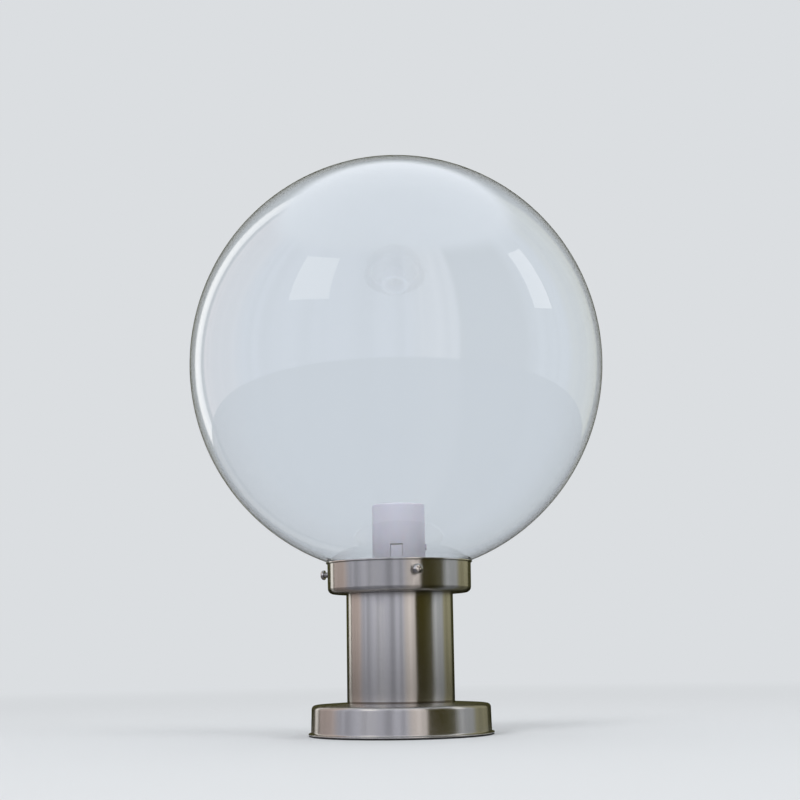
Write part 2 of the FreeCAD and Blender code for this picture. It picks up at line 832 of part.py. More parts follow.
def cut_glass(body, height, above):
    """Cut the glass off square at a height, above it or below it."""
    side = "above" if above else "below"
    disc = new_sketch(body, "XY_Plane", f"outline_{side}")
    circle(disc, AXIS, AXIS, size.globe_half_wide + size.trim_past)
    pocket(body, disc, f"cut_{side}", length=size.globe_half_tall * 2,
           start=height, forward=above)


def globe_band(label, low, high=None):
    """Cut one level band of the blown clear globe, or its cap where no upper height is given."""
    body = new_body(label)
    glass_wall(body)
    if high is not None:
        cut_glass(body, high, above=True)
    cut_glass(body, low, above=False)


def globe():
    """The globe's bowl in three bands; the glass is a little taller than wide."""
    globe_band("globe", size.cap_foot)
    globe_band("globe_upper", size.globe_centre, size.cap_foot)
    globe_band("globe_lower", size.shoulder_top, size.globe_centre)


def globe_shoulder():
    """The globe's shoulder, where the same glass runs in and rounds down to the neck."""
    body = new_body("globe_shoulder")
    outside, inside = glass_wall(body)
    round_ring(body, size.neck_radius, outside, size.neck_fillet, "shoulder_outside")
    round_ring(body, size.neck_radius - size.globe_wall, inside,
               size.neck_fillet + size.globe_wall, "shoulder_inside")
    cut_glass(body, size.shoulder_top, above=True)


def globe_neck():
    """The globe's straight neck, drawn from the same glass, with a fire-polished rim."""
    body = new_body("globe_neck")
    inner_neck = size.neck_radius - size.globe_wall
    neck_end = size.column_top + size.sheet + size.seal_thick
    revolve(body, [(inner_neck, neck_end), (size.neck_radius, neck_end),
                   (size.neck_radius, size.neck_top), (inner_neck, size.neck_top)], "tube")
    round_ring(body, size.neck_radius, neck_end, size.neck_edge, "rim_outside")
    round_ring(body, inner_neck, neck_end, size.neck_edge, "rim_inside")


# ---------------------------------------------------------------- terminal block and earth

def first_pole():
    """Return how far across the first pole lies."""
    return -(size.pole_pitch * (size.pole_count - 1) / 2)


def pole_span():
    """Return the distance from the first pole to the last."""
    return size.pole_pitch * (size.pole_count - 1)


def block_middle():
    """Return the terminal block's middle, along Y."""
    return size.block_front + size.block_deep / 2


def terminal_block():
    """Moulded strip of three poles: a low floor, a tower to a pole, wire ways and screw wells."""
    body = new_body("terminal_block")
    low = size.lug_shelf
    back = size.block_front + size.block_deep
    floor = new_sketch(body, "XY_Plane", "floor_outline")
    rectangle(floor, -size.block_long / 2, size.block_long / 2, size.block_front, back)
    pad(body, floor, size.block_floor_tall, "floor", start=low)
    tower = new_sketch(body, "XY_Plane", "tower_outline")
    rectangle(tower, first_pole() - size.pole_tower / 2, first_pole() + size.pole_tower / 2,
              size.block_front, back)
    tower_pad = pad(body, tower, size.block_tall, "tower", start=low)
    spread_along(body, [tower_pad], pole_span(), size.pole_count, "towers")

    way = new_sketch(body, "XZ_Plane", "wire_way")
    circle(way, first_pole(), size.pole_height, size.tube_radius)
    way_cut = pocket(body, way, "wire_way_cut")
    spread_along(body, [way_cut], pole_span(), size.pole_count, "wire_ways")

    wells = new_sketch(body, "XY_Plane", "screw_wells")
    for side in (-1, 1):
        circle(wells, first_pole(), block_middle() + size.block_screw_offset * side, size.block_well)
    well_cut = pocket(body, wells, "screw_well_cut",
                      length=size.block_tall, start=size.pole_height, forward=True)
    spread_along(body, [well_cut], pole_span(), size.pole_count, "all_wells")

    fixing = new_sketch(body, "XY_Plane", "fixing_hole")
    circle(fixing, size.pole_pitch / 2, block_middle(), size.fixing_radius + size.thread_gap)
    pocket(body, fixing, "fixing_hole_cut")
    seat = new_sketch(body, "XY_Plane", "fixing_seat")
    circle(seat, size.pole_pitch / 2, block_middle(), size.fixing_head + size.fixing_gap)
    pocket(body, seat, "fixing_seat_cut",
           length=size.block_tall, start=low + size.block_floor_tall, forward=True)


def terminal_tubes():
    """Three brass tubes across the block, each with two tapped holes for its screws."""
    body = new_body("terminal_tubes")
    body.AllowCompound = True
    ring = new_sketch(body, "XZ_Plane", "tube_ring")
    circle(ring, first_pole(), size.pole_height, size.tube_radius)
    circle(ring, first_pole(), size.pole_height, size.tube_bore)
    tube = pad(body, ring, size.tube_long, "tube", start=-block_middle(), middle=True)
    taps = new_sketch(body, "XY_Plane", "tapped_holes")
    for side in (-1, 1):
        circle(taps, first_pole(), block_middle() + size.block_screw_offset * side,
               size.block_screw_radius)
    tap_cut = pocket(body, taps, "tap_cut",
                     length=size.tube_radius, start=size.pole_height, forward=True)
    spread_along(body, [tube, tap_cut], pole_span(), size.pole_count, "tubes")


def terminal_block_screws():
    """Six clamp screws, two to a pole, standing in their wells."""
    body = new_body("terminal_block_screws")
    body.AllowCompound = True
    tip = size.pole_height + size.lead_radius
    seat = size.pole_height + size.tube_radius + size.block_screw_gap
    pads = []
    for radius, low, name in ((size.block_screw_radius, tip, "shank"),
                              (size.block_screw_head, seat, "head")):
        rounds = new_sketch(body, "XY_Plane", f"{name}_rounds")
        for side in (-1, 1):
            circle(rounds, first_pole(), block_middle() + size.block_screw_offset * side, radius)
        pads.append(pad(body, rounds, size.block_screw_top - low, name, start=low))
    spread_along(body, pads, pole_span(), size.pole_count, "screws")


def block_fixing_screw():
    """Screw that holds the terminal block down on the strap's lug."""
    body = new_body("terminal_block_fixing_screw")
    seat = size.lug_shelf + size.block_floor_tall
    top = seat + size.fixing_head_tall
    revolve(body, [
        (AXIS, size.fixing_bottom), (size.fixing_radius, size.fixing_bottom), (size.fixing_radius, seat),
        (size.fixing_head, seat), (size.fixing_head, top), (AXIS, top)], "screw")
    round_ring(body, size.fixing_head, top, size.fixing_round, "head_round")
    body.Placement = Placement(Vector(size.pole_pitch.value / 2, block_middle().value, 0), Rotation())
    body.setExpression("Placement.Base.x", (size.pole_pitch / 2).text)
    body.setExpression("Placement.Base.y", block_middle().text)


def earth_levels():
    """Return the heights of the bridge's underside, the tag's and the washer's."""
    under = size.bridge_top - size.strap_sheet
    tag_low = under - size.tag_thick
    return under, tag_low, tag_low - size.earth_washer_thick


def earth_screw():
    """Screw up through the ring tag into the bridge."""
    body = new_body("earth_screw")
    seat = earth_levels()[2]
    low = seat - size.earth_head_tall
    revolve(body, [
        (AXIS, low), (size.earth_head, low), (size.earth_head, seat), (size.earth_shank, seat),
        (size.earth_shank, size.earth_shank_top), (AXIS, size.earth_shank_top)], "screw")
    round_ring(body, size.earth_head, low, size.earth_pan_round, "pan_round")
    place(body, across=size.earth_x)


def earth_washer():
    """Small locking washer between the earth screw's head and the tag."""
    body = new_body("earth_washer")
    ring = new_sketch(body, "XY_Plane", "ring")
    circle(ring, AXIS, AXIS, size.earth_head)
    circle(ring, AXIS, AXIS, size.earth_shank + size.thread_gap)
    pad(body, ring, size.earth_washer_thick, "washer")
    place(body, across=size.earth_x, height=earth_levels()[2])


def earth_tag():
    """Ring tag with a crimped barrel, turned towards the earth pole."""
    body = new_body("earth_tag")
    middle = size.tag_thick / 2
    barrel_end = size.tag_barrel_start + size.tag_barrel_long
    neck = new_sketch(body, "XY_Plane", "neck_outline")
    rectangle(neck, AXIS, size.tag_barrel_start + size.tag_barrel_stop,
              -size.tag_neck_wide / 2, size.tag_neck_wide / 2)
    pad(body, neck, size.tag_thick, "neck")
    ring = new_sketch(body, "XY_Plane", "ring_outline")
    circle(ring, AXIS, AXIS, size.tag_radius)
    pad(body, ring, size.tag_thick, "ring")
    drop = middle - size.tag_barrel_drop
    barrel = new_sketch(body, "YZ_Plane", "barrel_outline")
    circle(barrel, AXIS, drop, size.tag_barrel)
    pad(body, barrel, size.tag_barrel_long, "barrel", start=size.tag_barrel_start)
    hole = new_sketch(body, "XY_Plane", "screw_hole")
    circle(hole, AXIS, AXIS, size.earth_shank + size.thread_gap)
    pocket(body, hole, "screw_hole_cut")
    way = new_sketch(body, "YZ_Plane", "lead_way")
    circle(way, AXIS, drop, size.lead_radius)
    pocket(body, way, "lead_way_cut",
           length=size.tag_barrel_long - size.tag_barrel_stop, start=barrel_end)
    place(body, angle=size.tag_turn, across=size.earth_x, height=earth_levels()[1])


# ---------------------------------------------------------------- lampholder

def lampholder_dome():
    """Lower half of the lampholder: rod boss, rounded shoulder, spigot and two latch tongues."""
    body = new_body("lampholder_dome")
    spigot = size.holder_radius - size.holder_wall - size.spigot_gap
    inner = spigot - size.holder_wall
    bore = size.rod_radius + size.thread_gap
    revolve(body, [
        (bore, size.dome_bottom), (size.dome_foot, size.dome_bottom),
        (size.holder_radius, size.dome_shoulder), (size.holder_radius, size.dome_rim),
        (spigot, size.dome_rim), (spigot, size.dome_spigot), (inner, size.dome_spigot),
        (inner, size.dome_shoulder + size.holder_wall), (size.dome_foot_inner, size.dome_floor),
        (size.dome_boss, size.dome_floor), (size.dome_boss, size.dome_boss_top),
        (bore, size.dome_boss_top)], "moulding")
    round_ring(body, size.holder_radius, size.dome_shoulder, size.dome_shoulder_round, "shoulder")
    tongue = new_sketch(body, "XY_Plane", "tongue_outline")
    rectangle(tongue, size.carrier_radius + size.latch_back_gap, size.holder_radius + size.cut_past,
              -size.latch_wide / 2, size.latch_wide / 2)
    root = size.dome_rim - size.latch_root
    tongue_pad = pad(body, tongue, size.latch_top - root, "tongue", start=root)
    spread_round(body, [tongue_pad], size.latch_count, "tongues")
    trim_outside(body, size.holder_radius, "tongue_faces")
    grub = new_sketch(body, "XZ_Plane", "grub_hole")
    circle(grub, AXIS, size.grub_height, size.grub_radius + size.thread_gap)
    pocket(body, grub, "grub_hole_cut", length=size.dome_boss + size.cut_past)
    place(body, angle=size.latch_angle)


def lampholder_skirt():
    """Upper half: outer skirt and inner screw barrel in one moulding, joined at the mouth."""
    body = new_body("lampholder_skirt")
    inner = size.holder_radius - size.holder_wall
    barrel = size.socket_radius + size.socket_wall
    under_mouth = size.holder_top - size.mouth_thick
    revolve(body, [
        (size.holder_radius, size.dome_rim), (size.holder_radius, size.holder_top),
        (size.socket_radius, size.holder_top), (size.socket_radius, size.socket_bottom),
        (barrel, size.socket_bottom), (barrel, under_mouth), (inner, under_mouth),
        (inner, size.dome_rim)], "moulding")
    round_ring(body, size.holder_radius, size.holder_top, size.mouth_round, "mouth_outside")
    round_ring(body, size.socket_radius, size.holder_top, size.mouth_inner_round, "mouth_inside")
    notch = new_sketch(body, "YZ_Plane", "latch_window")
    half = size.latch_wide / 2 + size.latch_side_gap
    rectangle(notch, -half, half, size.dome_rim - size.cut_past, size.latch_top + size.latch_top_gap)
    cut = pocket(body, notch, "latch_window_cut",
                 length=size.holder_radius + size.cut_past, forward=True)
    spread_round(body, [cut], size.latch_count, "latch_windows")
    groove = new_sketch(body, "XY_Plane", "contact_groove")
    half_groove = size.side_strip / 2 + size.groove_gap
    rectangle(groove, -size.side_slot, -(size.socket_radius - size.cut_past),
              -half_groove, half_groove)
    groove_low = size.socket_bottom - size.cut_past
    pocket(body, groove, "contact_groove_cut", start=groove_low, forward=True,
           length=size.side_contact_top + size.groove_above - groove_low)
    bump = new_sketch(body, "XZ_Plane", "bump_outline")
    low = size.bump_height - size.bump_tall / 2
    rectangle(bump, -size.bump_wide / 2, size.bump_wide / 2, low, low + size.bump_tall)
    seat = size.holder_radius - size.holder_wall / 2
    bump_pad = pad(body, bump, size.bump_proud + size.holder_wall / 2, "bump", start=-seat)
    bump_pad.Reversed = True

    def is_bump_rim(direction, middle):
        return near(middle.y, size.holder_radius + size.bump_proud)

    round_edges(body, line_edges(body, is_bump_rim), size.bump_round, "bump_rim")
    place(body, angle=size.latch_angle)


def contact_carrier():
    """Moulded insert that holds the contacts and clamps the leads."""
    body = new_body("contact_carrier")
    revolve(body, [
        (AXIS, size.dome_spigot), (size.carrier_radius, size.dome_spigot),
        (size.carrier_radius, size.socket_bottom), (size.carrier_well, size.socket_bottom),
        (size.carrier_well, size.carrier_well_floor), (AXIS, size.carrier_well_floor)], "moulding")
    wires = new_sketch(body, "XY_Plane", "wire_holes")
    for side in (-1, 1):
        circle(wires, AXIS, size.terminal_x * side, size.wire_hole)
    wires_low = size.dome_spigot - size.cut_past
    pocket(body, wires, "wire_hole_cut",
           length=size.terminal_end - wires_low, start=wires_low, forward=True)
    notch = new_sketch(body, "XY_Plane", "contact_notch")
    half = size.side_strip / 2 + size.groove_gap
    rectangle(notch, -size.side_slot, -size.side_foot_start, -half, half)
    pocket(body, notch, "contact_notch_cut", start=size.carrier_well_floor, forward=True,
           length=size.socket_bottom - size.carrier_well_floor + size.cut_past)
    for radius, depth, name in ((size.terminal_radius, AXIS, "terminal_hole"),
                                (size.terminal_head + size.groove_gap, size.terminal_seat,
                                 "terminal_recess")):
        sketch = new_sketch(body, "YZ_Plane", name)
        for side in (-1, 1):
            circle(sketch, size.terminal_x * side, size.terminal_height, radius)
        pocket(body, sketch, f"{name}_cut",
               length=size.carrier_radius, start=depth, forward=True)
    place(body, angle=size.latch_angle)


def lampholder_terminal_screws():
    """Two screws that clamp the leads in the carrier."""
    body = new_body("lampholder_terminal_screws")
    body.AllowCompound = True
    shank_long = size.terminal_seat - size.lead_radius
    for radius, start, length, name in (
            (size.terminal_radius, size.lead_radius, shank_long, "shank"),
            (size.terminal_head, size.terminal_seat, size.terminal_head_tall, "head")):
        sketch = new_sketch(body, "YZ_Plane", f"{name}_rounds")
        for side in (-1, 1):
            circle(sketch, size.terminal_x * side, size.terminal_height, radius)
        pad(body, sketch, length, name, start=start)
    place(body, angle=size.latch_angle)


def centre_contact():
    """Sprung strip that meets the lamp's tip."""
    body = new_body("centre_contact")
    low = size.carrier_well_floor
    thick = size.contact_sheet
    rise = size.centre_rise - thick
    flat = size.centre_flat
    slant = thick / 2
    tail_low = rise - size.centre_tail_drop
    strip = new_sketch(body, "XZ_Plane", "strip_outline")
    outline(strip, [
        (size.centre_foot, low), (size.centre_knee, low), (flat, rise), (-flat, rise),
        (-size.centre_tail, tail_low), (-size.centre_tail - thick, tail_low + slant),
        (-flat - slant, size.centre_rise), (flat + slant, size.centre_rise),
        (size.centre_knee + slant, low + thick), (size.centre_foot, low + thick)])
    pad(body, strip, size.centre_strip, "strip", middle=True)
    place(body, angle=size.latch_angle)


def side_contact():
    """Strip that stands in the barrel's groove and meets the lamp's thread."""
    body = new_body("side_contact")
    low = size.carrier_well_floor
    inner = size.side_contact_radius
    outer = inner + size.contact_sheet
    strip = new_sketch(body, "XZ_Plane", "strip_outline")
    outline(strip, [
        (-size.side_foot_start, low), (-outer, low), (-outer, size.side_contact_top),
        (-inner, size.side_contact_top), (-inner, low + size.contact_sheet),
        (-size.side_foot_start, low + size.contact_sheet)])
    pad(body, strip, size.side_strip, "strip", middle=True)
    place(body, angle=size.latch_angle)


def dome_grub_screw():
    """Grub screw that stops the lampholder turning on the rod."""
    body = new_body("dome_grub_screw")
    sketch = new_sketch(body, "XZ_Plane", "round")
    circle(sketch, AXIS, size.grub_height, size.grub_radius)
    pad(body, sketch, size.dome_boss - size.rod_radius, "screw", start=-size.dome_boss)
    place(body, angle=size.latch_angle)


# ---------------------------------------------------------------- leads

def tangent_path(points):
    """Join points by straight runs and arcs, each arc as large as its two runs allow."""
    edges = []
    radii = []
    start = points[0]
    for before, corner, after in zip(points, points[1:], points[2:]):
        towards = (before - corner).normalize()
        away = (after - corner).normalize()
        turn = math.pi - towards.getAngle(away)
        reach = ARC_SHARE * min((before - corner).Length, (after - corner).Length)
        radius = reach / math.tan(turn / 2)
        bisector = (towards + away).normalize()
        middle = corner + bisector * (radius / math.cos(turn / 2) - radius)
        entry = corner + towards * reach
        leave = corner + away * reach
        edges.append(Part.LineSegment(start, entry).toShape())
        edges.append(Part.Arc(entry, middle, leave).toShape())
        radii.append(round(radius, 1))
        start = leave
    edges.append(Part.LineSegment(start, points[-1]).toShape())
    return Part.Wire(edges), radii


def lead(label, points):
    """Insulated lead along a path of runs and arcs."""
    path, radii = tangent_path(points)
    radius = size.lead_radius.value
    along = points[1] - points[0]
    section = Part.Wire([Part.Circle(points[0], along, radius).toShape()])
    solid = path.makePipeShell([section], True, False)
    whole = math.pi * radius ** 2 * path.Length
    if abs(solid.Volume / whole - 1) > MATCH:
        raise ValueError(f"{label}: volume {solid.Volume:.1f}, expected {whole:.1f}")
    print(f"{label}: {path.Length:.1f} long, bend radii {radii}")
    feature = doc.addObject("Part::Feature", label)
    feature.Label = label
    feature.Shape = solid
    feature.Placement = Placement()
    SUB_PARTS.append(feature)


def rod_lead(label, offset, terminal, pole):
    """Lead from a lampholder terminal, down the rod and round into its pole of the block."""
    turn = math.radians(size.latch_angle.value + 90)
    across = terminal * math.cos(turn)
    along = terminal * math.sin(turn)
    lead(label, [
        Vector(across, along, size.terminal_end.value),
        Vector(across, along, size.lead_splay_high.value),
        Vector(offset, 0, size.lead_splay_low.value),
        Vector(offset, 0, size.lead_low.value),
        Vector(pole, size.lead_line_up.value, size.pole_height.value),
        Vector(pole, size.lead_end.value, size.pole_height.value)])


def leads():
    """The live and neutral leads, and the short earth lead."""
    offset = size.lead_offset.value
    terminal = size.terminal_x.value
    rod_lead("neutral_lead", -offset, -terminal, first_pole().value)
    rod_lead("live_lead", offset, terminal, 0)
    earth_pole = -first_pole().value
    turn = math.radians(size.tag_turn.value)
    reach = size.tag_barrel_start.value + size.tag_barrel_stop.value
    height = earth_levels()[1].value + size.tag_thick.value / 2 - size.tag_barrel_drop.value
    start = Vector(size.earth_x.value + reach * math.cos(turn), reach * math.sin(turn), height)
    heading = Vector(math.cos(turn), math.sin(turn), 0)
    lead("earth_lead", [
        start, start + heading * size.earth_run.value,
        Vector(earth_pole, size.lead_line_up.value, size.pole_height.value),
        Vector(earth_pole, size.lead_end.value, size.pole_height.value)])


# ---------------------------------------------------------------- assembly

for build in (base_gasket, base_cup, mounting_strap, hollow_rod, column_tube, wide_washer,
              gallery_cup, gallery_press_nuts, globe_seal, globe, globe_shoulder, globe_neck,
              terminal_block, terminal_tubes, terminal_block_screws, block_fixing_screw,
              earth_screw, earth_washer, earth_tag, lampholder_dome, lampholder_skirt, contact_carrier,
              lampholder_terminal_screws, centre_contact, side_contact, dome_grub_screw, leads):
    build()

gallery_floor = size.column_top + size.sheet
washer_top = gallery_floor + size.wide_washer_thick
tooth_washer("gallery_tooth_washer", washer_top)
rod_nut("gallery_nut", washer_top + size.tooth_washer_thick)
tooth_washer("strap_tooth_washer", size.bridge_top)
rod_nut("strap_upper_nut", size.bridge_top + size.tooth_washer_thick)
rod_nut("strap_lower_nut", size.bridge_top - size.strap_sheet - size.rod_nut_thick)
centring_cup("lower_centring_cup", size.base_top, True)
centring_cup("upper_centring_cup", size.column_top, False)
for turn, side in enumerate(("front", "rear", "left")):
    gallery_screw(f"gallery_screw_{side}", turn)

doc.recompute()
failed = [item.Name for item in doc.Objects if "Invalid" in item.State or "Error" in item.State]
if failed:
    raise ValueError(f"failed features: {failed}")
os.makedirs("parts", exist_ok=True)
for part in SUB_PARTS:
    if part.Shape.isNull() or not part.Shape.isValid() or not part.Shape.Solids:
        raise ValueError(f"{part.Label}: no valid solid")
    part.Shape.exportStep(f"parts/{part.Label}.step")
    print(f"{part.Label}: {len(part.Shape.Solids)} solid, {part.Shape.Volume:.1f} mm3")
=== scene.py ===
import logging
import math
from contextlib import contextmanager
from dataclasses import dataclass, field
from enum import Enum
from typing import Any, Callable, Iterator, Mapping, NamedTuple, Sequence

import bmesh
import bpy
from mathutils import Matrix, Vector


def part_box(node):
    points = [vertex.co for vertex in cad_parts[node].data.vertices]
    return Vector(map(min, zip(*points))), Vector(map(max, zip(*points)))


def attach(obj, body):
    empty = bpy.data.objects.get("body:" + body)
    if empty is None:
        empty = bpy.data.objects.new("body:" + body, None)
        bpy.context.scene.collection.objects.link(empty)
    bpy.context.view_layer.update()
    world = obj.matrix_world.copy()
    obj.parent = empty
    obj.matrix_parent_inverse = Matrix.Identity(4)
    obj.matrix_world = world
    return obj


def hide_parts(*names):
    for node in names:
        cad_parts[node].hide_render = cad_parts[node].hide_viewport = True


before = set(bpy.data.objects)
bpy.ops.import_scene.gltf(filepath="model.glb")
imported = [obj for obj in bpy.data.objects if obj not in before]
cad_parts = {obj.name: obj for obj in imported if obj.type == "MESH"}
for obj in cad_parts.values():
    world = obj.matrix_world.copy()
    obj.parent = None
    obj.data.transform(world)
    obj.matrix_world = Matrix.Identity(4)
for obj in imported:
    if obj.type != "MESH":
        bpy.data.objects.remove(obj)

# A garden globe light: a clear blown globe in a drawn gallery cup, on a brushed column and a
# shallow base cup, with a white lampholder standing in the globe's neck. Metres, +Z up, the
# viewer on -Y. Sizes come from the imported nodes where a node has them.

MM = 0.001
FULL_TURN = 2 * math.pi
AXIS_Z = (0.0, 0.0, 1.0)
AXIS_DOWN = (0.0, 0.0, -1.0)    # a spin about it goes anticlockwise, seen from above
MERGE = 0.001 * MM          # points nearer than this are one point
SMOOTH_ANGLE = math.radians(32)
SMOOTH_THREAD = math.radians(60)
SMOOTH_GLASS = math.radians(50)
SCREW_ANGLES = {"front": -77.0, "rear": 43.0, "left": 163.0}    # degrees from +X
MIX_A, MIX_B, MIXED = 6, 7, 2   # a Mix node's two colour inputs, and its colour output
NOISE_LOW, NOISE_HIGH = 0.3, 0.7    # nearly all of a Noise texture lies between these
PATCH_SCALE, PATCH_SHARE = 0.04, 0.35   # broad patches over a grain: scale and weight
WAVE_LENGTH = 0.3142        # a Wave texture's length at a scale of 1
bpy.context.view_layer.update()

Piece = bpy.types.Object
Tree = bpy.types.NodeTree
Node = bpy.types.Node
Socket = bpy.types.NodeSocket

log = logging.getLogger("garden_globe_light")


# ------------------------------------------------------------------ modelling helpers

class Pick(Enum):
    """What a selection in edit mode is made of."""

    POINTS = "VERT"
    EDGES = "EDGE"
    FACES = "FACE"


class Corner(NamedTuple):
    """A corner of a turned outline: its radius, its height and how far its round reaches."""

    radius: float
    height: float
    rounding: float = 0.0


@dataclass(frozen=True)
class Extent:
    """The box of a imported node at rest."""

    low: Vector
    high: Vector

    @classmethod
    def of(cls, node: str) -> "Extent":
        """Read a node's box."""
        return cls(*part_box(node))

    @property
    def bottom(self) -> float:
        """Lowest height."""
        return self.low.z

    @property
    def top(self) -> float:
        """Highest height."""
        return self.high.z

    @property
    def middle(self) -> float:
        """Middle height."""
        return (self.low.z + self.high.z) / 2

    @property
    def reach(self) -> float:
        """Outer radius about the light's axis."""
        return (self.high.x - self.low.x) / 2


def deselect() -> None:
    """Leave nothing selected, so that an operator acts only on what is picked next."""
    if bpy.context.mode != "OBJECT":
        bpy.ops.object.mode_set(mode="OBJECT")
    for thing in bpy.context.selected_objects:
        thing.select_set(False)


def pick_only(piece: Piece) -> None:
    """Select one object and make it the active one."""
    deselect()
    piece.select_set(True)
    bpy.context.view_layer.objects.active = piece


def take(name: str) -> Piece:
    """Name the primitive that was just added and put its place into its mesh.

    Args:
        name: The piece's name.

    Returns:
        The new object, at the origin.
    """
    piece = bpy.context.active_object
    piece.name = name
    piece.data.name = name
    bpy.ops.object.transform_apply(location=True, rotation=True, scale=True)
    return piece


@contextmanager
def editing(piece: Piece) -> Iterator[None]:
    """Open a piece in edit mode with no point selected, and close it afterwards."""
    pick_only(piece)
    bpy.ops.object.mode_set(mode="EDIT")
    bpy.ops.mesh.select_mode(type=Pick.POINTS.value)
    bpy.ops.mesh.select_all(action="DESELECT")
    yield
    bpy.ops.object.mode_set(mode="OBJECT")


def select(piece: Piece, kind: Pick, fits: Callable[[Any], bool]) -> None:
    """Select the points, edges or faces of a piece in edit mode that pass a test.

    Args:
        piece: The object that is open in edit mode.
        kind: What to select.
        fits: Says whether one bmesh element is wanted.
    """
    bpy.ops.mesh.select_mode(type=kind.value)
    bpy.ops.mesh.select_all(action="DESELECT")
    mesh = bmesh.from_edit_mesh(piece.data)
    pool = {Pick.POINTS: mesh.verts, Pick.EDGES: mesh.edges, Pick.FACES: mesh.faces}[kind]
    for item in [item for item in pool if fits(item)]:
        item.select_set(True)
    mesh.select_flush_mode()
    bmesh.update_edit_mesh(piece.data)


def level_at(height: float) -> Callable[[Any], bool]:
    """Return a test for edges or faces that lie level at a height."""
    return lambda item: all(abs(point.co.z - height) < MERGE for point in item.verts)


def close_up(piece: Piece) -> None:
    """Merge doubled points of a piece in edit mode, close its holes and face it outwards."""
    bpy.ops.mesh.select_mode(type=Pick.POINTS.value)
    bpy.ops.mesh.select_all(action="SELECT")
    bpy.ops.mesh.remove_doubles(threshold=MERGE)
    bpy.ops.mesh.fill_holes(sides=0)
    bpy.ops.mesh.normals_make_consistent(inside=False)


def smooth(piece: Piece, angle: float = SMOOTH_ANGLE) -> Piece:
    """Shade a piece smooth across edges blunter than an angle."""
    pick_only(piece)
    bpy.ops.object.shade_smooth_by_angle(angle=angle)
    return piece


def lathe(name: str, outline: Sequence[Corner], steps: int = 192, sweep: float = FULL_TURN,
          start: float = 0.0, arc_steps: int = 5) -> Piece:
    """Turn a closed outline about the light's axis, as on a spinning lathe.

    Args:
        name: The piece's name.
        outline: Corners in order, each with the reach of its round along both sides.
        steps: How many steps the turn has.
        sweep: The angle turned through.
        start: Where the turn starts, from +X.
        arc_steps: How many segments a round has.

    Returns:
        The turned solid, closed and facing outwards.
    """
    deselect()
    spot = Vector((outline[0].radius, 0, outline[0].height))
    bpy.ops.mesh.primitive_plane_add(size=MM, location=spot)
    piece = take(name)
    with editing(piece):
        bpy.ops.mesh.select_all(action="SELECT")
        bpy.ops.mesh.merge(type="CENTER")
        for corner in (*outline[1:], outline[0]):
            goal = Vector((corner.radius, 0, corner.height))
            bpy.ops.mesh.extrude_region_move(TRANSFORM_OT_translate={"value": goal - spot})
            spot = goal
        bpy.ops.mesh.select_all(action="SELECT")
        bpy.ops.mesh.remove_doubles(threshold=MERGE)
        for corner in outline:
            if corner.rounding:
                place = Vector((corner.radius, 0, corner.height))
                select(piece, Pick.POINTS, lambda point: (point.co - place).length < MERGE)
                bpy.ops.mesh.bevel(offset_type="OFFSET", offset=corner.rounding,
                                   segments=arc_steps, affect="VERTICES")
        bpy.ops.mesh.select_all(action="SELECT")
        bpy.ops.mesh.spin(steps=steps, angle=sweep, center=(0, 0, 0), axis=AXIS_DOWN,
                          use_auto_merge=sweep >= FULL_TURN)
        close_up(piece)
    if start:
        piece.rotation_euler.z = start
        pick_only(piece)
        bpy.ops.object.transform_apply(rotation=True)
    return smooth(piece)


def block(name: str, low: Sequence[float], high: Sequence[float],
          edge: float = 0.0) -> Piece:
    """Make a block between two corners, its edges broken if asked.

    Args:
        name: The piece's name.
        low: Its lowest corner.
        high: Its highest corner.
        edge: The width of its broken edges.

    Returns:
        The block.
    """
    deselect()
    low, high = Vector(low), Vector(high)
    bpy.ops.mesh.primitive_cube_add(size=1, location=(low + high) / 2, scale=high - low)
    piece = take(name)
    if edge:
        with editing(piece):
            bpy.ops.mesh.select_all(action="SELECT")
            bpy.ops.mesh.bevel(offset=edge, segments=3, affect="EDGES")
    return piece


def finish_with(piece: Piece, kind: str, **settings: Any) -> None:
    """Add a modifier to a piece and apply it.

    Args:
        piece: The object.
        kind: The modifier's type.
        settings: Its settings by name.
    """
    modifier = piece.modifiers.new(kind.lower(), kind)
    for name, value in settings.items():
        setattr(modifier, name, value)
    pick_only(piece)
    bpy.ops.object.modifier_apply(modifier=modifier.name)


def carve(piece: Piece, tool: Piece) -> None:
    """Cut a tool's shape out of a piece and throw the tool away."""
    finish_with(piece, "BOOLEAN", object=tool, operation="DIFFERENCE", solver="EXACT")
    bpy.data.objects.remove(tool)


def turn(piece: Piece, matrix: Matrix) -> Piece:
    """Move a piece's mesh by a matrix and leave its object at the origin."""
    piece.matrix_world = matrix
    pick_only(piece)
    bpy.ops.object.transform_apply(location=True, rotation=True, scale=True)
    return piece


def join(piece: Piece, *others: Piece) -> Piece:
    """Join other meshes to a piece, as one moulding."""
    pick_only(piece)
    for other in others:
        other.select_set(True)
    bpy.ops.object.join()
    return piece


def copy_of(piece: Piece, name: str) -> Piece:
    """Copy a piece, with a mesh of its own."""
    twin = piece.copy()
    twin.data = piece.data.copy()
    twin.name = name
    twin.data.name = name
    bpy.context.scene.collection.objects.link(twin)
    return twin


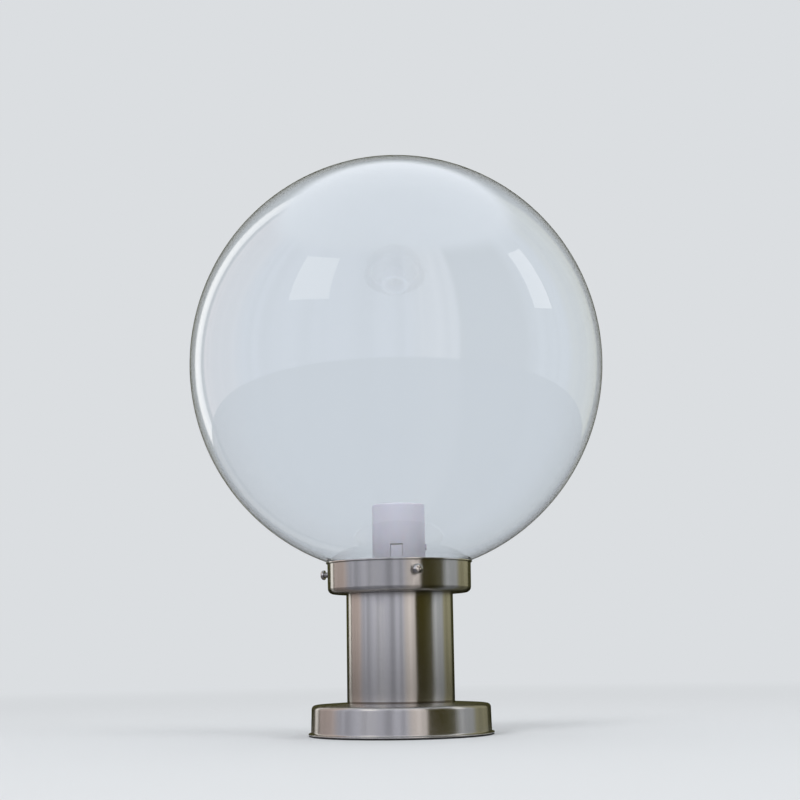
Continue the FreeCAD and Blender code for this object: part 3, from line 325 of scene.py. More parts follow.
def wind_ridge(name: str, root: float, half_wide: float, half_deep: float, pitch: float,
               low: float, turns: int, steps: int = 48) -> Piece:
    """Wind a rounded ridge about the light's axis, as the ridge of a thread.

    Args:
        name: The piece's name.
        root: Radius of the ridge's middle.
        half_wide: Half its width along the axis.
        half_deep: Half its depth across the axis.
        pitch: The climb in one turn.
        low: Height where it starts.
        turns: How many turns it has.
        steps: Steps in one turn.

    Returns:
        The ridge, closed at both ends.
    """
    deselect()
    bpy.ops.mesh.primitive_circle_add(vertices=10, radius=half_wide, location=(root, 0, low),
                                      rotation=(math.pi / 2, 0, 0))
    bpy.context.active_object.scale.x = half_deep / half_wide
    ridge = take(name)
    finish_with(ridge, "SCREW", axis="Z", angle=FULL_TURN, screw_offset=pitch,
                iterations=turns, steps=steps, render_steps=steps)
    with editing(ridge):
        close_up(ridge)
    return smooth(ridge, SMOOTH_THREAD)


def around(angle: float, radius: float = 0.0, height: float = 0.0) -> Matrix:
    """Return the matrix that stands something at an angle round the light's axis."""
    return Matrix.Rotation(angle, 4, "Z") @ Matrix.Translation((radius, 0, height))


# ------------------------------------------------------------------ finishes

def linear(code: str) -> tuple[float, float, float, float]:
    """Turn an sRGB hex colour into linear red, green, blue and alpha."""
    shares = [int(code[at:at + 2], 16) / 255 for at in (1, 3, 5)]
    flat = [s / 12.92 if s <= 0.04045 else ((s + 0.055) / 1.055) ** 2.4 for s in shares]
    return (*flat, 1.0)


def fresh_tree(holder: bpy.types.Material | bpy.types.World) -> Tree:
    """Give a material or a world its nodes, and return the tree with none in it."""
    holder.use_nodes = True
    holder.node_tree.nodes.clear()
    return holder.node_tree


def add_node(tree: Tree, kind: str, sockets: Mapping[Any, Any] | None = None,
             **settings: Any) -> Node:
    """Add a node with its settings, its plain values and its links.

    Args:
        tree: The node tree.
        kind: The node's type, less its "ShaderNode".
        sockets: Its inputs by name or number. Each is a plain value, an output of another
            node, or a node whose first output in use is meant.
        settings: Its properties by name.

    Returns:
        The node.
    """
    node = tree.nodes.new(f"ShaderNode{kind}")
    for name, value in settings.items():
        setattr(node, name, value)
    for name, value in (sockets or {}).items():
        if isinstance(value, Node):
            value = next(output for output in value.outputs if output.enabled)
        if isinstance(value, Socket):
            tree.links.new(value, node.inputs[name])
        else:
            node.inputs[name].default_value = value
    return node


def dark_and_pale(code: str, spread: float) -> list[tuple[float, ...]]:
    """Return a colour a little darker and a little paler, by a share of itself."""
    return [(*[min(1.0, part * share) for part in linear(code)[:3]], 1.0)
            for share in (1 - spread, 1 + spread)]


@dataclass(frozen=True)
class Finish:
    """A finish: what it is made of, its record slot, and the plain values of its surface."""

    name: str
    slot: str
    colour: str
    roughness: float
    metallic: float = 0.0
    colour_spread: float = 0.05
    roughness_spread: float = 0.06
    grain: float = 0.4 * MM         # size of the surface's pattern
    relief: float = 0.004 * MM      # its height

    def pattern(self, tree: Tree) -> Node:
        """Return the surface's grain, from 0 to 1, as fine grain over broad patches."""
        place = add_node(tree, "TexCoord").outputs["Object"]
        fine = add_node(tree, "TexNoise",
                        {"Vector": place, "Scale": 1 / self.grain, "Detail": 2.0})
        broad = add_node(tree, "TexNoise",
                         {"Vector": place, "Scale": PATCH_SCALE / self.grain, "Detail": 1.0})
        return add_node(tree, "Mix", {"Factor": PATCH_SHARE, "A": fine, "B": broad},
                        data_type="FLOAT")

    def extras(self, tree: Tree, surface: Node) -> None:
        """Set what this finish has beyond a plain surface."""

    @staticmethod
    def overlay(tree: Tree, surface: Node, share: Node, colour: str) -> None:
        """Lay a second colour over a surface's own.

        Args:
            tree: The finish's node tree.
            surface: The surface.
            share: How much of the second colour shows, from 0 to 1.
            colour: The second colour.
        """
        base = surface.inputs["Base Color"]
        both = add_node(tree, "Mix", {"Factor": share, MIX_A: base.links[0].from_socket,
                                      MIX_B: linear(colour)}, data_type="RGBA")
        tree.links.new(both.outputs[MIXED], base)

    def material(self) -> bpy.types.Material:
        """Return the finish's material, made the first time that it is asked for."""
        made = bpy.data.materials.get(self.name)
        if made:
            return made
        made = bpy.data.materials.new(self.name)
        tree = fresh_tree(made)
        grain = self.pattern(tree)
        dark, pale = dark_and_pale(self.colour, self.colour_spread)
        colour = add_node(tree, "Mix", {"Factor": grain, MIX_A: dark, MIX_B: pale},
                          data_type="RGBA")
        rough = add_node(tree, "MapRange", {
            "Value": grain, "From Min": NOISE_LOW, "From Max": NOISE_HIGH,
            "To Min": max(0.0, self.roughness - self.roughness_spread),
            "To Max": self.roughness + self.roughness_spread})
        relief = add_node(tree, "Bump", {"Height": grain, "Distance": self.relief,
                                         "Strength": 1.0})
        surface = add_node(tree, "BsdfPrincipled", {
            "Base Color": colour, "Metallic": self.metallic, "Roughness": rough,
            "Normal": relief})
        self.extras(tree, surface)
        add_node(tree, "OutputMaterial", {"Surface": surface})
        return made

    def dress(self, piece: Piece) -> None:
        """Give a piece this finish alone."""
        piece.data.materials.clear()
        piece.data.materials.append(self.material())


@dataclass(frozen=True)
class BrushedSteel(Finish):
    """Stainless sheet brushed round on the spindle: fine rings that spread light upright."""

    metallic: float = 1.0
    line_pitch: float = 0.28 * MM
    line_length: float = 30 * MM
    stretch: float = 0.96           # how much the rings stretch a highlight across themselves

    def pattern(self, tree: Tree) -> Node:
        """Return the brush lines: long round the axis, fine up a wall and out over a top."""
        place = add_node(tree, "TexCoord").outputs["Object"]
        parts = add_node(tree, "SeparateXYZ", {0: place}).outputs
        flat = add_node(tree, "CombineXYZ", {"X": parts["X"], "Y": parts["Y"]})
        radius = add_node(tree, "VectorMath", {0: flat}, operation="LENGTH")
        depth = add_node(tree, "Math", {0: parts["Z"], 1: radius}, operation="ADD")
        ringed = add_node(tree, "CombineXYZ", {"X": parts["X"], "Y": parts["Y"], "Z": depth})
        across, along = 1 / self.line_pitch, 1 / self.line_length
        drawn = add_node(tree, "Mapping", {"Vector": ringed, "Scale": (along, along, across)})
        return add_node(tree, "TexNoise", {"Vector": drawn, "Scale": 1.0, "Detail": 3.0,
                                           "Roughness": 0.6})

    def extras(self, tree: Tree, surface: Node) -> None:
        """Stretch the highlights across the brush lines."""
        ring = add_node(tree, "Tangent", direction_type="RADIAL", axis="Z")
        tree.links.new(ring.outputs["Tangent"], surface.inputs["Tangent"])
        surface.inputs["Anisotropic"].default_value = self.stretch
        surface.inputs["Anisotropic Rotation"].default_value = 0.25


@dataclass(frozen=True)
class ShadedFootSteel(BrushedSteel):
    """Brushed sheet with painted shade at its foot, where the tube meets the base."""

    # the painted shade's colour: full below the low height, gone above the high one
    foot_shade: str = "#7E7872"
    foot_shade_low: float = 23.8 * MM
    foot_shade_high: float = 24.2 * MM

    def extras(self, tree: Tree, surface: Node) -> None:
        """Paint the shade on the sheet, from its foot up to the shade's top edge."""
        super().extras(tree, surface)
        place = add_node(tree, "TexCoord").outputs["Object"]
        parts = add_node(tree, "SeparateXYZ", {0: place})
        # how much painted shade shows, by height
        shade_share = add_node(tree, "MapRange", {
            "Value": parts.outputs["Z"], "From Min": self.foot_shade_high, "From Max": self.foot_shade_low})
        self.overlay(tree, surface, shade_share, self.foot_shade)


@dataclass(frozen=True)
class BlownGlass(Finish):
    """Clear soda-lime glass, blown and fire-polished: faint ripples, no grain."""

    ior: float = 1.5

    def extras(self, tree: Tree, surface: Node) -> None:
        """Let the light through."""
        surface.inputs["IOR"].default_value = self.ior
        surface.inputs["Transmission Weight"].default_value = 1.0


@dataclass(frozen=True)
class SoftMoulding(Finish):
    """A moulding that light sinks into a little, such as thermoplastic or silicone."""

    glow: float = 0.1
    glow_reach: float = 1.0 * MM

    def extras(self, tree: Tree, surface: Node) -> None:
        """Let light spread under the skin."""
        surface.inputs["Subsurface Weight"].default_value = self.glow
        surface.inputs["Subsurface Scale"].default_value = self.glow_reach


@dataclass(frozen=True)
class StripedSleeve(Finish):
    """Extruded insulation with a second colour running along it."""

    stripe: str = "#D9C21E"
    stripe_wide: float = 1.3 * MM
    stripe_from: float = 0.6        # the stripe shows where the wave is over this

    def extras(self, tree: Tree, surface: Node) -> None:
        """Lay the stripe along Y, the way the lead runs."""
        place = add_node(tree, "TexCoord").outputs["Object"]
        bands = add_node(tree, "TexWave",
                         {"Vector": place, "Scale": WAVE_LENGTH / self.stripe_wide},
                         bands_direction="X")
        edge = add_node(tree, "Math", {0: bands.outputs["Fac"], 1: self.stripe_from},
                        operation="GREATER_THAN")
        self.overlay(tree, surface, edge, self.stripe)


# Stainless sheet, drawn or rolled and then brushed round: streaks of light and dark stand upright
# on it and nothing shows sharp. The three pieces are one sheet in three painted tones: the base
# darker, as painted shade, and the gallery paler, as painted light; the tube also has painted
# shade at its foot.
BASE_SHEET, TUBE_SHEET, GALLERY_SHEET = (
    kind(f"brushed_stainless_{part}", "brushed_stainless", colour, 0.24,
         colour_spread=0.03, roughness_spread=0.02, relief=0.0001 * MM)
    for kind, part, colour in ((BrushedSteel, "base", "#A8A5A2"),
                               (ShadedFootSteel, "tube", "#B4B1AD"),
                               (BrushedSteel, "gallery", "#C6C3BF")))
# Blown soda-lime glass: seen by its dark and bright edges, and by faint ripples in its shine.
GLASS = BlownGlass("blown_clear_glass", "clear_glass", "#F6F9FC", 0.0, colour_spread=0.0,
                   roughness_spread=0.0, grain=22 * MM, relief=0.03 * MM)
# Moulded thermoplastic: an even, cool white with a satin shine and soft edges.
WHITE_PLASTIC = SoftMoulding("moulded_white_thermoplastic", "white_thermoplastic", "#DDD9E3",
                             0.42, colour_spread=0.02, relief=0.006 * MM)
# Pressed thermoset: opaque and half matt, with a fine mottle.
CREAM_PLASTIC = Finish("pressed_cream_thermoset", "cream_thermoset", "#D2C8AF", 0.5,
                       grain=0.8 * MM)
# Natural polyamide: milky, because light sinks well into it.
POLYAMIDE = SoftMoulding("moulded_natural_polyamide", "natural_polyamide", "#E2E0D4", 0.38,
                         glow=0.3)
# Steel plated with bright zinc: bluish, and shinier in some patches than in others.
ZINC = Finish("bright_zinc_plating", "zinc_plated_steel", "#BDC2C6", 0.3, metallic=1.0,
              colour_spread=0.1, roughness_spread=0.1, grain=1.2 * MM)
# Cold-headed and polished stainless: small sharp highlights beside near black.
POLISHED = Finish("polished_stainless", "stainless_screw", "#B9B6B2", 0.14, metallic=1.0,
                  grain=0.3 * MM, relief=0.002 * MM)
# Turned brass: yellow, with a slightly blurred shine.
BRASS = Finish("machined_brass", "brass", "#C7A458", 0.28, metallic=1.0, colour_spread=0.08)
# Rolled bronze strip: redder than the brass, and uneven in tone.
BRONZE = Finish("rolled_spring_bronze", "spring_bronze", "#B98A52", 0.26, metallic=1.0,
                colour_spread=0.1)
# Closed-cell foam: matt and nearly black. Its cells are drawn three times too coarse, to show.
FOAM = Finish("closed_cell_foam", "black_foam", "#1C1C1D", 0.9, colour_spread=0.3,
              grain=0.7 * MM, relief=0.12 * MM)
# Moulded silicone: cloudy white with a dull shine.
SILICONE = SoftMoulding("moulded_silicone", "white_silicone", "#D5D6D2", 0.5, glow=0.3)
# Extruded insulation: plain strong colours with a waxy shine.
BROWN_SLEEVE = Finish("brown_insulation", "brown_sleeve", "#5B3620", 0.32, grain=0.3 * MM)
BLUE_SLEEVE = Finish("blue_insulation", "blue_sleeve", "#2355A0", 0.32, grain=0.3 * MM)
EARTH_SLEEVE = StripedSleeve("green_and_yellow_insulation", "green_sleeve", "#3E8A32", 0.32,
                             grain=0.3 * MM)

NODE_FINISHES: dict[Finish, tuple[str, ...]] = {
    ZINC: ("mounting_strap", "hollow_rod", "gallery_washer", "terminal_block_screws",
           "terminal_block_fixing_screw", "earth_screw", "earth_washer",
           "lampholder_terminal_screws", "dome_grub_screw", "gallery_tooth_washer",
           "gallery_nut", "strap_tooth_washer", "strap_upper_nut", "strap_lower_nut",
           "lower_centring_cup", "upper_centring_cup"),
    POLISHED: ("gallery_press_nuts",),
    SILICONE: ("globe_seal",),
    POLYAMIDE: ("terminal_block",),
    BRASS: ("terminal_tubes", "earth_tag"),
    CREAM_PLASTIC: ("contact_carrier",),
    BRONZE: ("centre_contact", "side_contact"),
    BLUE_SLEEVE: ("neutral_lead",),
    BROWN_SLEEVE: ("live_lead",),
    EARTH_SLEEVE: ("earth_lead",),
}


# ------------------------------------------------------------------ sub-assemblies

@dataclass
class SubAssembly:
    """A group of pieces that are made and dressed together."""

    pieces: list[Piece] = field(default_factory=list, init=False)

    def keep(self, piece: Piece, finish: Finish, body: str, *nodes: str) -> None:
        """Dress a piece, stand it in for its nodes and let it ride on a body.

        Args:
            piece: The finished mesh.
            finish: Its finish.
            body: The body that carries it.
            nodes: The nodes that it stands for.
        """
        finish.dress(piece)
        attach(piece, body)
        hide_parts(*nodes)
        self.pieces.append(piece)

    def report(self) -> None:
        """Log each piece with its size."""
        for piece in self.pieces:
            faces = len(piece.data.polygons)
            wide, deep, tall = (1000 * length for length in piece.dimensions)
            log.info("%s: %.1f x %.1f x %.1f mm, %d faces", piece.name, wide, deep, tall, faces)


@dataclass
class Base(SubAssembly):
    """The drawn base cup, its top a little crowned, and the foam ring under its lip."""

    sheet: float = 1.0 * MM
    wall_top: float = 63.2 * MM
    wall_foot: float = 63.7 * MM
    rod_hole: float = 5.25 * MM
    crown: float = 1.3 * MM
    crown_foot: float = 40.0 * MM
    corner: float = 2.6 * MM
    flare: float = 1.2 * MM
    sheet_edge: float = 0.4 * MM
    foam_wide: float = 6.5 * MM

    def build(self) -> None:
        """Turn the cup and the ring."""
        cup = Extent.of("base_cup")
        under = cup.top - self.sheet
        lip_top = cup.bottom + self.sheet
        shoulder = cup.top - self.crown
        shell = lathe("base_shell", [
            Corner(self.rod_hole, under), Corner(self.crown_foot, under),
            Corner(self.wall_top - self.sheet, shoulder - self.sheet,
                   self.corner - self.sheet),
            Corner(self.wall_foot - self.sheet, cup.bottom, self.flare + self.sheet),
            Corner(cup.reach, cup.bottom, self.sheet_edge),
            Corner(cup.reach, lip_top, self.sheet_edge),
            Corner(self.wall_foot, lip_top, self.flare),
            Corner(self.wall_top, shoulder, self.corner),
            Corner(self.crown_foot, cup.top), Corner(self.rod_hole, cup.top)])
        self.keep(shell, BASE_SHEET, "stand", "base_cup")
        ring = Extent.of("base_gasket")
        inner = ring.reach - self.foam_wide
        foam = lathe("foam_ring", [
            Corner(inner, ring.bottom), Corner(ring.reach, ring.bottom, self.sheet_edge),
            Corner(ring.reach, ring.top, self.sheet_edge), Corner(inner, ring.top)])
        self.keep(foam, FOAM, "stand", "base_gasket")


@dataclass
class Column(SubAssembly):
    """The brushed column tube, its cut ends broken."""

    wall: float = 1.5 * MM
    end_break: float = 0.3 * MM

    def build(self) -> None:
        """Turn the tube."""
        tube = Extent.of("column_tube")
        inner = tube.reach - self.wall
        sleeve = lathe("column_sleeve", [
            Corner(inner, tube.bottom, self.end_break),
            Corner(tube.reach, tube.bottom, self.end_break),
            Corner(tube.reach, tube.top, self.end_break),
            Corner(inner, tube.top, self.end_break)])
        self.keep(sleeve, TUBE_SHEET, "stand", "column_tube")


@dataclass
class Gallery(SubAssembly):
    """The drawn gallery cup with its rolled lip and three screw holes."""

    sheet: float = 1.0 * MM
    wall_top: float = 51.4 * MM
    wall_foot: float = 51.2 * MM
    rod_hole: float = 5.25 * MM
    corner: float = 4.0 * MM
    flare: float = 1.2 * MM
    flare_under: float = 0.8 * MM
    sheet_edge: float = 0.45 * MM
    lip_edge: float = 0.1 * MM
    hole_radius: float = 2.3 * MM
    drill_long: float = 12 * MM

    def build(self) -> None:
        """Turn the cup and drill it."""
        cup = Extent.of("gallery_cup")
        lip_under = cup.top - self.sheet
        shell = lathe("gallery_shell", [
            Corner(self.rod_hole, cup.bottom),
            Corner(self.wall_foot, cup.bottom, self.corner),
            Corner(self.wall_top, lip_under, self.flare_under),
            Corner(cup.reach, lip_under, self.lip_edge),
            Corner(cup.reach, cup.top, self.sheet_edge),
            Corner(self.wall_top - self.sheet, cup.top, self.flare),
            Corner(self.wall_foot - self.sheet, cup.bottom + self.sheet,
                   self.corner - self.sheet),
            Corner(self.rod_hole, cup.bottom + self.sheet)])
        height = Extent.of("gallery_screw_front").middle
        for angle in SCREW_ANGLES.values():
            deselect()
            bpy.ops.mesh.primitive_cylinder_add(
                vertices=40, radius=self.hole_radius, depth=self.drill_long,
                rotation=(0, math.pi / 2, 0))
            drill = turn(take("drill"), around(math.radians(angle), self.wall_top, height))
            carve(shell, drill)
        self.keep(smooth(shell), GALLERY_SHEET, "stand", "gallery_cup")


@dataclass
class GalleryScrew:
    """A pan head screw with a cross recess and a cut thread, modelled once along Z."""

    shank: float = 2.0 * MM
    pitch: float = 0.7 * MM
    nose: float = 0.5 * MM
    head: float = 3.5 * MM
    head_tall: float = 2.7 * MM
    head_edge: float = 0.25 * MM
    long: float = 12.7 * MM
    recess_wide: float = 1.1 * MM
    recess_span: float = 4.4 * MM
    recess_deep: float = 2.0 * MM
    recess_taper: tuple[float, float, float] = (0.35, 0.6, 1.0)     # its floor to its mouth
    crown: float = 2.0 * MM
    ridge_share: float = 0.42       # half the thread's width, and its depth, in pitches
    ridge_start: float = 0.6        # in pitches from the tip

    def build(self) -> Piece:
        """Turn the blank, cut the recess and wind the thread.

        Returns:
            The screw, its tip at the origin and its head up.
        """
        seat = self.long - self.head_tall
        ridge = self.ridge_share * self.pitch
        core = self.shank - ridge
        blank = lathe("screw", [
            Corner(0, 0), Corner(core - self.nose, 0), Corner(core, self.nose),
            Corner(core, seat), Corner(self.head, seat, self.head_edge),
            Corner(self.head, self.long, self.crown), Corner(0, self.long)],
            steps=48, arc_steps=8)
        for quarter in range(2):
            carve(blank, self.recess_blade(quarter * math.pi / 2))
        turns = int(seat / self.pitch) - 1
        thread = wind_ridge("thread", core, ridge, self.shank - core, self.pitch,
                            self.pitch * self.ridge_start, turns, steps=24)
        return smooth(join(blank, thread))

    def recess_blade(self, angle: float) -> Piece:
        """Make one blade of the cross that is sunk into the head."""
        half = self.recess_wide / 2
        floor = self.long - self.recess_deep
        blade = block("blade", (-self.recess_span / 2, -half, floor),
                      (self.recess_span / 2, half, self.long + MM))
        with editing(blade):
            select(blade, Pick.FACES, level_at(floor))
            bpy.ops.transform.resize(value=self.recess_taper, center_override=(0, 0, floor))
        return turn(blade, around(angle))


@dataclass
class GalleryScrews(SubAssembly):
    """The three screws round the gallery, each on its own body."""

    tip: float = 46.65 * MM
    first_stop: float = 0.5         # each recess stops at another turn, in radians
    next_stop: float = 0.9

    def build(self) -> None:
        """Make one screw and stand a copy at each place."""
        pattern = GalleryScrew().build()
        height = Extent.of("gallery_screw_front").middle
        outwards = Matrix.Rotation(math.pi / 2, 4, "Y")
        for index, (side, angle) in enumerate(SCREW_ANGLES.items()):
            stop = Matrix.Rotation(self.next_stop * index + self.first_stop, 4, "Z")
            screw = copy_of(pattern, f"screw_{side}")
            turn(screw, around(math.radians(angle), self.tip, height) @ outwards @ stop)
            self.keep(screw, POLISHED, f"screw_{side}", f"gallery_screw_{side}")
        bpy.data.objects.remove(pattern)


@dataclass
class Globe(SubAssembly):
    """The blown globe with its straight neck."""

    half_wide: float = 150 * MM
    half_tall: float = 152.5 * MM
    wall: float = 2.5 * MM
    neck: float = 46.5 * MM
    shoulder: float = 2.6 * MM
    rim_edge: float = 0.8 * MM
    rim_angle: float = 1.0          # the rim's edges are sharper than this, in radians
    around_steps: int = 192
    up_steps: int = 120

    def build(self) -> None:
        """Shape the globe from a ball: stretch it, cut it open and draw out its neck."""
        neck_end = Extent.of("globe_seal").top
        centre = Extent.of("globe").top - self.half_tall
        drop = self.half_tall * math.sqrt(1 - (self.neck / self.half_wide) ** 2)
        cut = centre - drop
        deselect()
        bpy.ops.mesh.primitive_uv_sphere_add(
            segments=self.around_steps, ring_count=self.up_steps, radius=self.half_wide,
            location=(0, 0, centre), scale=(1, 1, self.half_tall / self.half_wide))
        glass = take("clear_globe")
        with editing(glass):
            bpy.ops.mesh.select_all(action="SELECT")
            bpy.ops.mesh.bisect(plane_co=(0, 0, cut), plane_no=AXIS_Z, clear_inner=True)
            select(glass, Pick.EDGES, lambda edge: edge.is_boundary)
            bpy.ops.mesh.extrude_region_move(
                TRANSFORM_OT_translate={"value": (0, 0, neck_end - cut)})
            select(glass, Pick.EDGES, level_at(cut))
            bpy.ops.mesh.bevel(offset=self.shoulder, segments=6, affect="EDGES")
            bpy.ops.mesh.select_all(action="SELECT")
            bpy.ops.mesh.remove_doubles(threshold=MERGE)
            bpy.ops.mesh.normals_make_consistent(inside=False)
        finish_with(glass, "SOLIDIFY", thickness=self.wall, offset=-1.0, use_even_offset=True,
                    use_rim=True)
        at_end = level_at(neck_end)
        with editing(glass):
            select(glass, Pick.EDGES,
                   lambda edge: at_end(edge) and edge.calc_face_angle(0) > self.rim_angle)
            bpy.ops.mesh.bevel(offset=self.rim_edge, segments=4, affect="EDGES")
        self.keep(smooth(glass, SMOOTH_GLASS), GLASS, "globe",
                  "globe", "globe_upper", "globe_lower", "globe_shoulder", "globe_neck")
        glass.visible_shadow = False    # clear glass lets the lamps' light through


@dataclass
class Lampholder(SubAssembly):
    """The white lampholder: latched upper and lower mouldings round a screw barrel."""

    wall: float = 1.7 * MM
    socket: float = 13.35 * MM
    socket_wall: float = 1.6 * MM
    socket_floor: float = 142 * MM
    mouth_thick: float = 2.0 * MM
    mouth_round: float = 1.4 * MM
    bore_round: float = 0.7 * MM
    root_round: float = 0.5 * MM
    seam: float = 121 * MM
    seam_round: float = 0.15 * MM
    latch_angle: float = math.radians(-95)
    latch_wide: float = 8.0 * MM
    latch_top: float = 133.0 * MM
    latch_gap: float = 0.25 * MM
    latch_top_gap: float = 0.8 * MM
    side_slot: float = 14.2 * MM
    side_slot_half: float = 2.6 * MM
    side_slot_top: float = 153.5 * MM
    thread_gap: float = 3.0 * MM
    thread_pitch: float = 3.62 * MM
    thread_root: float = 13.6 * MM
    thread_share: float = 0.36      # half the ridge's width, in pitches
    thread_deep: float = 1.2 * MM
    thread_turns: int = 4
    bump_root: float = 0.8 * MM
    bump_proud: float = 0.9 * MM
    bump_half: float = 2.5 * MM
    bump_low: float = 129.5 * MM
    bump_high: float = 133.9 * MM
    bump_edge: float = 0.5 * MM
    rod_bore: float = 5.03 * MM
    foot: float = 12.5 * MM
    foot_round: float = 0.4 * MM
    bowl_top: float = 110.2 * MM
    bowl_round: float = 3.4 * MM
    spigot_gap: float = 0.1 * MM
    spigot_top: float = 126 * MM
    spigot_edge: float = 0.3 * MM
    bowl_inside: float = 111.9 * MM
    bowl_inside_round: float = 1.5 * MM
    floor: float = 107.4 * MM
    floor_reach: float = 11.5 * MM
    boss: float = 8.2 * MM
    boss_top: float = 115 * MM
    tongue_below: float = 2.0 * MM
    tongue_root: float = 1.5 * MM
    tongue_round: float = 0.5 * MM

    def build(self) -> None:
        """Make both mouldings."""
        self.build_upper()
        self.build_lower()

    def build_upper(self) -> None:
        """Turn the skirt and barrel, cut the windows and the contact's slot, wind the thread."""
        box = Extent.of("lampholder_skirt")
        outer = Extent.of("lampholder_dome").reach
        inner, barrel = outer - self.wall, self.socket + self.socket_wall
        under = box.top - self.mouth_thick
        skirt = lathe("holder_upper", [
            Corner(outer, self.seam, self.seam_round),
            Corner(outer, box.top, self.mouth_round),
            Corner(self.socket, box.top, self.bore_round),
            Corner(self.socket, self.socket_floor), Corner(barrel, self.socket_floor),
            Corner(barrel, under, self.root_round), Corner(inner, under, self.root_round),
            Corner(inner, self.seam)], steps=128)
        half = self.latch_wide / 2 + self.latch_gap
        for side in (0, math.pi):
            window = block("window", (inner - MM, -half, self.seam - MM),
                           (outer + MM, half, self.latch_top + self.latch_top_gap))
            carve(skirt, turn(window, around(self.latch_angle + side)))
        groove = block("groove", (-self.side_slot, -self.side_slot_half, self.socket_floor - MM),
                       (-self.socket + MM, self.side_slot_half, self.side_slot_top))
        carve(skirt, turn(groove, around(self.latch_angle)))
        thread = wind_ridge("moulded_thread", self.thread_root,
                            self.thread_pitch * self.thread_share, self.thread_deep,
                            self.thread_pitch, under - self.thread_turns * self.thread_pitch,
                            self.thread_turns)
        slot = block("slot", (-self.socket, -self.side_slot_half, self.socket_floor - MM),
                     (-self.socket + self.thread_gap, self.side_slot_half, self.side_slot_top))
        carve(thread, turn(slot, around(self.latch_angle)))
        self.keep(smooth(join(skirt, thread, self.side_bump(outer))), WHITE_PLASTIC, "stand",
                  "lampholder_skirt")

    def side_bump(self, outer: float) -> Piece:
        """Make the small rounded bump on the skirt's side."""
        bump = block("bump", (outer - self.bump_root, -self.bump_half, self.bump_low),
                     (outer + self.bump_proud, self.bump_half, self.bump_high),
                     edge=self.bump_edge)
        return turn(bump, around(self.latch_angle + math.pi / 2))

    def build_lower(self) -> None:
        """Turn the dome with its spigot and rod boss, and add the two latch tongues."""
        box = Extent.of("lampholder_dome")
        outer, spigot = box.reach, box.reach - self.wall - self.spigot_gap
        inner = spigot - self.wall
        dome = lathe("holder_lower", [
            Corner(self.rod_bore, box.bottom), Corner(self.foot, box.bottom, self.foot_round),
            Corner(outer, self.bowl_top, self.bowl_round),
            Corner(outer, self.seam, self.seam_round), Corner(spigot, self.seam),
            Corner(spigot, self.spigot_top, self.spigot_edge), Corner(inner, self.spigot_top),
            Corner(inner, self.bowl_inside, self.bowl_inside_round),
            Corner(self.floor_reach, self.floor), Corner(self.boss, self.floor),
            Corner(self.boss, self.boss_top, self.foot_round),
            Corner(self.rod_bore, self.boss_top)], steps=128)
        root, low = inner + self.tongue_root, self.seam - self.tongue_below
        half = math.asin(self.latch_wide / 2 / outer)
        tongues = [lathe("tongue", [
            Corner(root, low), Corner(outer, low),
            Corner(outer, self.latch_top, self.tongue_round), Corner(root, self.latch_top)],
            steps=12, sweep=2 * half, start=self.latch_angle + side - half)
            for side in (0, math.pi)]
        self.keep(smooth(join(dome, *tongues)), WHITE_PLASTIC, "stand", "lampholder_dome")


@dataclass
class HiddenWorks:
    """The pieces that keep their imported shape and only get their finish."""

    def build(self) -> None:
        """Dress each of them."""
        for finish, nodes in NODE_FINISHES.items():
            for node in nodes:
                finish.dress(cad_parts[node])
                log.info("%s: %s", node, finish.name)


# ------------------------------------------------------------------ studio

class Card(NamedTuple):
    """A card of the screen, from a bearing in degrees on, with half the width of its edge."""

    bearing: float
    colour: str
    soften: float = 1.0


